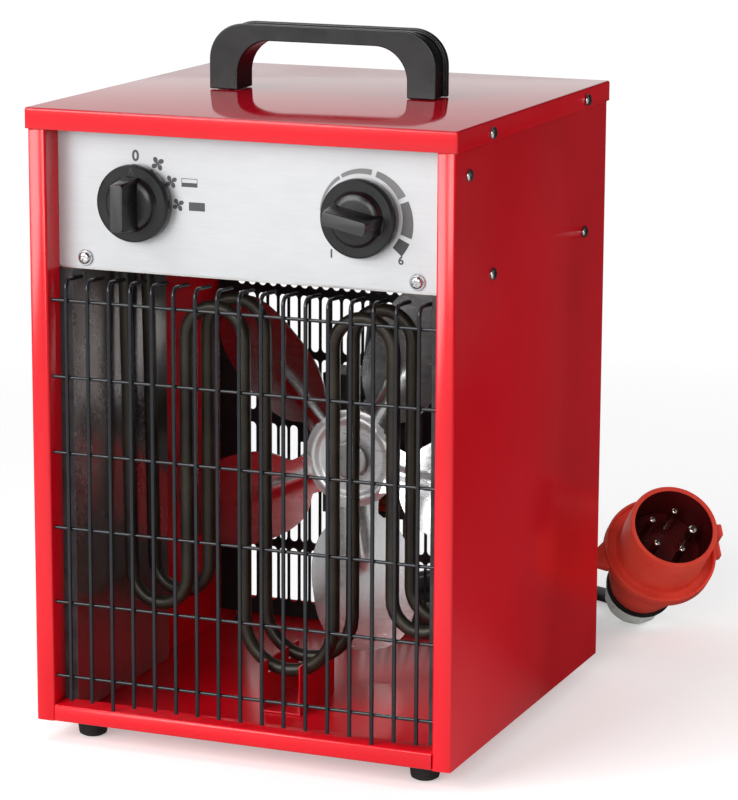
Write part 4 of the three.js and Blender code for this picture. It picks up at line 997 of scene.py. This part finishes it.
knob = {
    "radius": 22, "rear": -2.2, "thick": 6, "boss": 15.5, "bossHeight": 4, "reach": 27.5,
    "grip": (7.9, 26.5), "gripCorner": 1.8, "flare": (2.2, 2.2), "sides": 72,
}


def knobMesh():
    k = knob
    rear, face = k["rear"], k["rear"] - k["thick"]
    crown = face - k["bossHeight"]
    r, boss = k["radius"], k["boss"]
    body = turnedMesh([
        (0, rear), (r - 0.9, rear), (r - 0.2, rear - 0.3), (r, rear - 0.9), (r, face + 1.5),
        (r - 0.4, face + 0.6), (r - 1.3, face), (boss + 0.4, face), (boss - 0.3, face - 0.5),
        (boss - 1.6, crown + 1.2), (boss - 3.2, crown + 0.3), (boss - 4.8, crown), (0, crown),
    ], k["sides"], 40)
    wide, long = k["grip"][0] / 2, k["grip"][1] / 2
    dx, dz = k["flare"]
    end = -k["reach"]
    levels = [(face + 0.5, dx, dz), (crown + 0.4, dx * 0.75, dz * 0.7), (end + 1, 0.0, 0.0),
              (end + 0.25, -0.25, -0.25), (end, -0.9, -0.9)]
    points = []
    for y, dx, dz in levels:
        half, reach, corner = wide + dx, long + dz, k["gripCorner"]
        for cx, cz, start in ((1, 1, 0), (-1, 1, 90), (-1, -1, 180), (1, -1, 270)):
            for i in range(5):
                angle = math.radians(start + 90 * i / 4)
                points.append(((cx * (half - corner) + corner * math.cos(angle)) * mm, y * mm,
                               (cz * (reach - corner) + corner * math.sin(angle)) * mm))
    ring = 20
    faces = [(a + i, a + (i + 1) % ring, a + ring + (i + 1) % ring, a + ring + i)
             for a in range(0, ring * (len(levels) - 1), ring) for i in range(ring)]
    faces += [tuple(range(ring)), tuple(range(ring * (len(levels) - 1), ring * len(levels)))]
    grip = tidyMesh(meshFrom("grip", points, faces), 28)
    return joined("knob", [body, grip], 28)


def makeKnob(name, x, restAngle, body, node):
    spot = Vector((x * mm, panelPrint["face"] * mm + shiftY, panelPrint["knobs"][2] * mm))
    matrix = Matrix.Translation(spot) @ Matrix.Rotation(math.radians(restAngle), 4, "Y")
    piece = newObject(name, moved(knobMesh(), matrix))
    place(piece, body, finishes["blackPlastic"], "black_plastic", node)
    end = spot.y - (knob["reach"] - 0.6) * mm  # the grip's end is satin, and lighter as a painted highlight
    paintFaces(piece, finishes["satinSheenPlastic"], lambda face: face.center.y < end and face.normal.y < -0.9)
    disc = knob["rear"] - knob["thick"]
    outline = [(-1.5, 16.6), (-0.9, 16.6), (0, 19.1), (0.9, 16.6), (1.5, 16.6), (0.3, 20.2), (-0.3, 20.2)]
    arrow = prismMesh(outline, disc - 0.12, disc + 0.3)
    place(newObject(name + "Mark", moved(arrow, matrix)), body, finishes["satinSheenPlastic"], "black_plastic")


makeKnob("selectorKnob", panelPrint["knobs"][0], 0, "selector", "selector_knob")
makeKnob("thermostatKnob", panelPrint["knobs"][1], -78.4, "thermostat", "thermostat_knob")
stageDone("knobs")

# Screws

screw = {"head": 3.6, "height": 2.2, "shank": 1.6, "length": 9, "washer": 4.6, "washerThickness": 0.8,
         "crossHalf": 0.42, "crossReach": 2.1, "crossDepth": 1.25}


def screwMesh(washer):
    s = screw
    under = s["washerThickness"] if washer else 0
    head, top = s["head"], s["height"]
    profile = [(0, -s["length"]), (s["shank"], -s["length"]), (s["shank"], 0)]
    if washer:
        rim = s["washer"]
        profile += [(rim - 0.1, 0), (rim, 0.15), (rim, under - 0.15), (rim - 0.15, under)]
    profile += [(head - 0.1, under), (head, under + 0.2)]
    dome = [(1, 0.32), (0.94, 0.55), (0.8, 0.78), (0.58, 0.93), (0.3, 0.99), (0, 1)]
    profile += [(head * out, under + top * up) for out, up in dome]
    work = newObject("screwWork", turnedMesh(profile, 28))
    high = under + top + 1
    thin, long = s["crossHalf"], s["crossReach"]
    bottom = under + top - s["crossDepth"]
    cross = [template(boxMesh(-a, a, bottom, high, -b, b)) for a, b in ((thin, long), (long, thin))]
    for cutter in cross:
        boolean = work.modifiers.new("cross", "BOOLEAN")
        boolean.operation = "DIFFERENCE"
        boolean.solver = "EXACT"
        boolean.object = cutter
    applied(work)
    mesh = work.data
    drop(work, *cross)
    return mesh


def makeScrews():
    y0 = shiftY / mm
    places = []
    replaced = []
    for side, label in ((-1, "left"), (1, "right")):
        spots = [(130.3, 86, 364), (130.3, -77, 364), (129.0, -110.3, 345), (129.0, 87.8, 285),
                 (129.0, -71.3, 285)]
        for i, (x, y, z) in enumerate(spots):
            places.append(((side * x, y + y0, z), (0, 0.5 * i + 0.3, -side * math.pi / 2)))
            replaced.append(f"side_screw_{label}_{i + 1}")
    sides = atPlaces("sideScrews", screwMesh(False), places, finishes["brightSteel"])
    place(sides, "case", finishes["brightSteel"], "bright_steel", *replaced)
    front = [((side * 101, -113.3 + y0, 285), (0, 0.4 * side, math.pi)) for side in (-1, 1)]
    panel = atPlaces("panelScrews", screwMesh(True), front, finishes["brightSteel"])
    place(panel, "case", finishes["brightSteel"], "bright_steel", "panel_screw_left", "panel_screw_right")


makeScrews()
stageDone("screws")

# Handle

handle = {"half": 71, "leg": 18, "low": 371.3, "top": 410, "inner": 400.6, "front": -9.6, "depth": 21.6,
          "corner": 21, "innerCorner": 20, "rim": 3.5, "recess": 2.5, "steps": 14}


def makeHandle():
    h = handle
    y0, y1 = h["front"] + shiftY / mm, h["front"] + h["depth"] + shiftY / mm
    innerHalf = h["half"] - h["leg"]
    stations = [((-h["half"], h["low"]), (-innerHalf, h["low"]), (-1, 0))]
    corner, innerCorner = h["corner"], h["innerCorner"]
    outerMiddle = (h["half"] - corner, h["top"] - corner)
    innerMiddle = (innerHalf - innerCorner, h["inner"] - innerCorner)
    for side in (-1, 1):
        arc = []
        for i in range(h["steps"] + 1):
            angle = math.pi / 2 * i / h["steps"]
            out = (math.cos(angle), math.sin(angle))
            outer = (side * (outerMiddle[0] + corner * out[0]), outerMiddle[1] + corner * out[1])
            inner = (side * (innerMiddle[0] + innerCorner * out[0]), innerMiddle[1] + innerCorner * out[1])
            arc.append((outer, inner, (side * out[0], out[1])))
        stations += arc if side < 0 else arc[::-1]
    stations.append(((h["half"], h["low"]), (innerHalf, h["low"]), (1, 0)))
    points, faces = [], []
    for (ox, oz), (ix, iz), (nx, nz) in stations:
        dx, dz = ox - nx * h["recess"], oz - nz * h["recess"]
        rimFront, rimBack = y0 + h["rim"], y1 - h["rim"]
        section = [(ix, y0, iz), (ix, y1, iz), (ox, y1, oz), (ox, rimBack, oz), (dx, rimBack, dz),
                   (dx, rimFront, dz), (ox, rimFront, oz), (ox, y0, oz)]
        points += [[c * mm for c in p] for p in section]
    for a in range(0, 8 * (len(stations) - 1), 8):
        faces += [(a + i, a + (i + 1) % 8, a + 8 + (i + 1) % 8, a + 8 + i) for i in range(8)]
    last = 8 * (len(stations) - 1)
    faces += [tuple(range(8)), tuple(range(last, last + 8))]
    piece = newObject("archHandle", tidyMesh(meshFrom("archHandle", points, faces), 30))
    return bevelled(piece, 0.9, 3, 45)


place(makeHandle(), "case", finishes["blackPlastic"], "black_plastic", "handle")

# Feet

foot = {"places": (104.5, 104.5), "sides": 40}


def makeFeet():
    profile = [(0, 0), (5.8, 0), (6.2, 0.2), (7.9, 1.2), (8.3, 2.6), (8.6, 5), (8.8, 9), (8.8, 12.2),
               (8.4, 12.7), (2.7, 12.7), (2.7, 14.3), (3.6, 14.3), (2.7, 17), (0, 17)]
    places = [((sx * foot["places"][0], sy * foot["places"][1] + shiftY / mm, 0), (math.pi / 2, 0, 0))
              for sx in (-1, 1) for sy in (-1, 1)]
    return atPlaces("feet", turnedMesh(profile, foot["sides"]), places, finishes["rubber"])


place(makeFeet(), "case", finishes["rubber"], "black_rubber", "foot_front_left", "foot_front_right",
      "foot_rear_left", "foot_rear_right")
stageDone("handle and feet")

# Heating elements

element = {"radius": 4, "rows": (-57, -27), "inner": 28, "middle": 65, "outer": 101, "splay": 3,
           "archTop": 251, "innerLow": 38, "outerLow": 70, "splayFrom": 270, "top": 288, "steps": 14}


def elementPath(y):
    e = element
    points = []

    def arc(x, z, radius, start, end):
        for i in range(e["steps"] + 1):
            angle = math.radians(start + (end - start) * i / e["steps"])
            points.append((x + radius * math.cos(angle), y, z + radius * math.sin(angle)))

    outerR, archR = (e["outer"] - e["middle"]) / 2, (e["middle"] - e["inner"]) / 2
    end = e["outer"] + e["splay"]
    points += [(-end, y, e["top"]), (-end, y, e["splayFrom"])]
    arc(-(e["outer"] + e["middle"]) / 2, e["outerLow"] + outerR, outerR, 180, 360)
    arc(-(e["middle"] + e["inner"]) / 2, e["archTop"] - archR, archR, 180, 0)
    arc(0, e["innerLow"] + e["inner"], e["inner"], 180, 360)
    arc((e["middle"] + e["inner"]) / 2, e["archTop"] - archR, archR, 180, 0)
    arc((e["outer"] + e["middle"]) / 2, e["outerLow"] + outerR, outerR, 180, 360)
    points += [(end, y, e["splayFrom"]), (end, y, e["top"])]
    return points


def makeElement(name, rowY, node):
    e = element
    y = rowY + shiftY / mm
    meshes = [tubeMesh(elementPath(y), e["radius"], 20)]
    for side in (-1, 1):
        collar = turnedMesh([
            (0, 279.3), (6.6, 279.3), (7, 279.7), (7, 284.3), (6.6, 284.8), (4.4, 284.8), (4.4, 286),
            (2.6, 289), (2, 289.4), (2, 299.6), (1.7, 300), (0, 300)], 28)
        foot = Matrix.Translation((side * (e["outer"] + e["splay"]) * mm, y * mm, 0))
        meshes.append(moved(collar, foot @ Matrix.Rotation(math.pi / 2, 4, "X")))
    piece = newObject(name, joined(name, meshes, 40))
    return place(piece, "case", finishes["elementSteel"], "element_steel", node)


makeElement("elementFront", element["rows"][0], "heating_element_front")
makeElement("elementRear", element["rows"][1], "heating_element_rear")
stageDone("heating elements")

# Fan

fan = {"y": 39, "z": 144.85, "radius": 120, "root": 24, "lobe": 84, "half": 31, "neck": 13, "pitch": -22,
       "start": 60, "count": 5, "camber": 2.2, "rib": 1.6, "sheet": 0.9, "hub": 30}


def bladeMesh():
    f = fan
    middle = f["radius"] - f["lobe"] / 2
    rows, columns = 40, 20
    points, faces = [], []
    inner = f["root"]
    for i in range(rows + 1):
        share = 0.5 - 0.5 * math.cos(math.pi * i / rows)
        u = inner + (f["radius"] - 0.02 - inner) * share
        reach = abs((u - middle) / (f["lobe"] / 2))
        half = f["half"] * max(1 - reach**2.5, 0) ** (1 / 2.5)
        neck = f["neck"] + 2.5 * max(0, (34 - u) / 10) ** 2
        if u < middle:
            half = (half**4 + neck**4) ** 0.25
        for k in range(columns + 1):
            v = half * (2 * k / columns - 1)
            height = -f["camber"] * (v / f["half"]) ** 2
            rib = math.exp(-(v / 3.4) ** 2) * min(max((70 - u) / 8, 0), 1)
            height -= f["rib"] * rib
            points.append((u * mm, height * mm, v * mm))
    for i in range(rows):
        for k in range(columns):
            a = i * (columns + 1) + k
            faces.append((a, a + 1, a + columns + 2, a + columns + 1))
    piece = newObject("blade", tidyMesh(meshFrom("blade", points, faces), 60))
    solidify = piece.modifiers.new("sheet", "SOLIDIFY")
    solidify.thickness = f["sheet"] * mm
    solidify.offset = 0
    applied(piece)
    mesh = piece.data
    drop(piece)
    mesh.transform(Matrix.Rotation(math.radians(f["pitch"]), 4, "X"))
    return tidyMesh(mesh, 50)


def makeFan():
    f = fan
    blades = ringOf("blades", bladeMesh(), f["count"], -f["start"], finishes["fanSheet"])
    hub = turnedMesh([
        (3.3, -0.5), (20, -0.5), (21.5, -0.8), (23, -2.2), (24.2, -2.9), (25.6, -2.9), (26.8, -2.2),
        (28.2, -0.8), (29.4, -0.5), (30, -0.2), (30, 0.5), (7, 0.5), (7, 18.5), (3.3, 18.5),
        (3.3, -0.5)], 72, 30)
    centre = Matrix.Translation((0, f["y"] * mm + shiftY, f["z"] * mm))
    piece = newObject("fanRotor", moved(joined("fanRotor", [blades.data, hub], 40), centre))
    drop(blades)
    place(piece, "fan", finishes["fanSheet"], "aluminium", "fan_rotor")
    x, _, z = centre.translation
    hubRadius = f["hub"] * mm
    paintFaces(piece, finishes["hubSteel"],
               lambda face: math.hypot(face.center.x - x, face.center.z - z) < hubRadius)
    clip = turnedMesh([
        (0, -6.3), (3, -6.5), (9.8, -6.3), (11, -6.1), (11.5, -5.7), (11.2, -5.3), (5, -5.2), (5, -0.8),
        (3.3, -0.8), (3.3, -5.2), (0, -5.2)], 40, 30)
    around = [2 * math.pi * i / 16 for i in range(16)]
    eyelet = prismMesh([(1.7 * math.sin(a), 12.3 + 2.1 * math.cos(a)) for a in around], -6.3, -5.3)
    piece = newObject("fanClip", moved(joined("fanClip", [clip, eyelet], 40), centre))
    place(piece, "fan", finishes["clipSteel"], "galvanised", "fan_clip")


makeFan()

# Motor: stacked plates, a winding and two bearing bridges

motor = {"front": 72, "depth": 28, "plates": 20, "core": (33, 44), "winding": (21, -39, -11),
         "bridge": (12, 30)}


def makeMotor():
    m = motor
    y0 = shiftY / mm
    z = fan["z"]
    step = m["depth"] / m["plates"]
    w, h = m["core"]
    plate = boxMesh(-w, w, 0, step * 0.8, z - h, z + h)
    front = m["front"] + y0
    back = front + m["depth"]
    stack = rowOf("corePlates", plate, m["plates"], (0, front + 0.1, 0), (0, step, 0),
                  finishes["motorSteel"])
    inside = boxMesh(-w + 0.4, w - 0.4, front + 0.2, back - 0.4, z - h + 0.4, z + h - 0.4)
    half, long = m["bridge"]
    bridgeFront = boxMesh(-half, half, front - 8, front - 5.5, z - long, z + long)
    bridgeBack = boxMesh(-half, half, back + 7.5, back + 10, z - long, z + long)
    posts = [boxMesh(-half, half, a, b, z + c - 3, z + c + 3)
             for a, b in ((front - 8, front), (back, back + 10)) for c in (-long + 3, long - 3)]
    a, b = m["front"] - 10, m["front"] - 5.5
    boss = turnedMesh([(3.3, a), (9.4, a), (11, a + 1.2), (11, b), (3.3, b), (3.3, a)], 40)
    boss = moved(boss, Matrix.Translation((0, y0 * mm, z * mm)))
    core = joined("motorCore", [stack.data, inside, bridgeFront, bridgeBack, *posts, boss], 30)
    piece = newObject("motorCore", core)
    drop(stack)
    place(piece, "case", finishes["motorSteel"], "motor_steel", "motor")
    half, low, high = m["winding"]
    coil = newObject("motorWinding", boxMesh(-half, half, front - 8, back + 8, z + low, z + high))
    bevelled(coil, 5, 5)
    place(coil, "case", finishes["winding"], "copper")


makeMotor()
stageDone("fan and motor")

# Cable gland

gland = {"x": -45, "z": 313, "rings": 7, "start": 134.0, "end": 156.3, "radius": 9.4, "taper": 3.0}


def makeGland():
    start, end = gland["start"], gland["end"]
    profile = [(0, 120.1), (11.6, 120.1), (12, 120.5), (12, 125.7), (11.6, 126.1), (8, 126.1), (8, 127.7),
               (11.6, 127.7), (12, 128.1), (12, 133.3), (11.5, 133.7), (9.6, 133.9)]
    for i in range(gland["rings"]):
        share = i / gland["rings"]
        radius = gland["radius"] - gland["taper"] * share
        y = start + (end - start) * share
        step = (end - start) / gland["rings"]
        profile += [(radius, y + 0.2), (radius, y + step * 0.55), (radius - 0.9, y + step * 0.62),
                    (radius - 0.9, y + step * 0.95)]
    profile += [(5.4, end), (0, end)]
    spot = Matrix.Translation((gland["x"] * mm, shiftY, gland["z"] * mm))
    return newObject("cableGland", moved(turnedMesh(profile, 36, 30), spot))


cableGland = place(makeGland(), "case", finishes["blackPlastic"], "black_plastic", "cable_gland")

# Plug: made along its Y axis from the nut to the mouth, then set down behind the case

plug = {"place": (113, 252, 14.94), "azimuth": -54.97, "tilt": 40, "bore": 25.3, "shroud": 28.5,
        "collar": 36.5, "rear": 63.9, "mouth": 107.9, "pinCircle": 14, "pins": 5, "pinSet": 4,
        "nutRibs": 12}
plugMatrix = (Matrix.Translation(Vector(plug["place"]) * mm + Vector((0, shiftY, 0)))
              @ Matrix.Rotation(math.radians(plug["azimuth"] - 90), 4, "Z")
              @ Matrix.Rotation(math.radians(plug["tilt"]), 4, "X"))


def plugPiece(name, mesh, finishName, slotName, *replaced):
    piece = newObject(name, moved(mesh, plugMatrix))
    return place(piece, "case", finishes[finishName], slotName, *replaced)


def inBore(face):
    # a face of the bore looks at the plug's axis
    back = plugMatrix.inverted()
    middle = back @ face.center
    outward = back.to_3x3() @ face.normal
    across = Vector((middle.x, 0, middle.z))
    return across.length < (plug["bore"] + 0.2) * mm and across.dot(outward) < -0.9 * across.length


def makePlug():
    p = plug
    pieces = []
    nutBody = turnedMesh([
        (0, 0), (17.6, 0), (18.7, 0.6), (19, 1.6), (19, 15), (18.4, 16.6), (17.8, 17), (0, 17)], 60)
    rib = boxMesh(18.4, 19.4, 1.6, 14.6, -1.3, 1.3)
    ribs = ringOf("nutRibs", rib, p["nutRibs"], 0, finishes["paleNut"])
    nut = joined("plugNut", [nutBody, ribs.data])
    pieces.append(plugPiece("plugNut", nut, "paleNut", "pale_plastic", "plug_nut"))
    drop(ribs)
    seal = turnedMesh([
        (0, 17.3), (20.8, 17.3), (22.1, 17.8), (22.5, 18.8), (22.5, 20.4), (22, 21.3), (0, 21.3)], 60)
    pieces.append(plugPiece("plugSeal", seal, "rubber", "black_rubber", "plug_seal"))
    body = turnedMesh([
        (0, 21.6), (20.4, 21.6), (21, 22.2), (21.6, 25), (23.6, 31), (25, 38), (25.7, 46), (26.6, 53),
        (29.5, 58), (32.2, 60.2), (33, 61.4), (33, 63.2), (32.6, 63.6), (0, 63.6)], 72)
    pieces.append(plugPiece("plugBody", body, "plugRed", "plug_red", "plug_body"))
    rear, mouth, bore = p["rear"], p["mouth"], p["bore"]
    shroud, collar = p["shroud"], p["collar"]
    front = rear + 11
    shell = turnedMesh([
        (bore, rear), (32.4, rear), (34.2, rear + 0.8), (36, rear + 2.4), (collar, rear + 3.6),
        (collar, front - 0.8), (collar - 0.5, front), (collar - 1.7, front), (collar - 2, front - 0.5),
        (collar - 2.2, front - 4),
        (shroud + 0.8, front - 4), (shroud + 0.2, front - 3.4), (shroud, front - 2.4),
        (shroud, mouth - 0.7),
        (shroud - 0.6, mouth), (bore + 0.5, mouth), (bore, mouth - 0.5), (bore, rear)], 96)
    low = rear + 2
    fin = newObject("fin", prismMesh([(35, -10), (47.3, -5.2), (47.5, -0.5), (35, 10)], low, low + 7))
    applied(bevelled(fin, 0.9, 3))
    small = newObject("small", boxMesh(-40.4, -35, low, low + 7, -6, 6))
    applied(bevelled(small, 0.9, 3))
    key = newObject("key", boxMesh(-34.4, -27.2, mouth - 20, mouth - 8, -4, 4))
    applied(bevelled(key, 0.9, 3))
    whole = joined("plugShroud", [shell, fin.data, small.data, key.data])
    drop(fin, small, key)
    pieces.append(plugPiece("plugShroud", whole, "plugRed", "plug_red", "plug_shroud"))
    paintFaces(pieces[-1], finishes["plugDark"], inBore)
    face = rear + 13
    insert = turnedMesh([
        (0, rear), (bore - 0.3, rear), (bore - 0.3, face - 0.6), (bore - 0.9, face), (19.8, face),
        (19.4, face + 0.5), (18.8, face + 0.5), (18.4, face), (0, face)], 72)
    pieces.append(plugPiece("plugInsert", insert, "plugDark", "plug_dark", "plug_insert"))
    tip = mouth - p["pinSet"]
    pinSpots = []
    for i in range(p["pins"]):
        angle = math.pi - 2 * math.pi * i / p["pins"]
        pinSpots.append((p["pinCircle"] * math.cos(angle), p["pinCircle"] * math.sin(angle)))
    for i, (x, z) in enumerate(pinSpots):
        radius = 3.3 if i == 0 else 2.4
        pin = turnedMesh([
            (0, rear + 6), (radius, rear + 6), (radius, tip - 1.6), (radius * 0.86, tip - 0.7),
            (radius * 0.55, tip - 0.12), (0, tip)], 28)
        ringed = turnedMesh([
            (radius + 0.1, face - 0.2), (radius + 1.7, face - 0.2), (radius + 1.5, face + 1.1),
            (radius + 0.6, face + 1.3), (radius + 0.1, face + 0.8), (radius + 0.1, face - 0.2)], 28)
        spot = Matrix.Translation((x * mm, 0, z * mm))
        pin, rim = moved(pin, spot), moved(ringed, spot)
        pieces.append(plugPiece(f"plugPin{i + 1}", pin, "pinMetal", "pin_metal", f"plug_pin_{i + 1}"))
        pieces.append(plugPiece(f"pinRim{i + 1}", rim, "plugDark", "plug_dark"))
    return pieces


plugPieces = makePlug()
stageDone("plug")

# Solids that keep their own mesh

keptFinishes = {
    "motor_shaft": "brightSteel", "motor_bracket": "blackPaint", "selector_shaft": "brightSteel",
    "thermostat_shaft": "brightSteel", "selector_switch": "whitePlastic", "thermostat_body": "zinc",
    "thermostat_bulb": "copper", "terminal_block": "whitePlastic", "overheat_cutout": "blackPlastic",
    "handle_screw_left": "brightSteel", "handle_screw_right": "brightSteel",
}
for name, finishName in keptFinishes.items():
    for materialSlot in nodes[name].material_slots:
        materialSlot.material = finishes[finishName]
stageDone("kept solids painted")
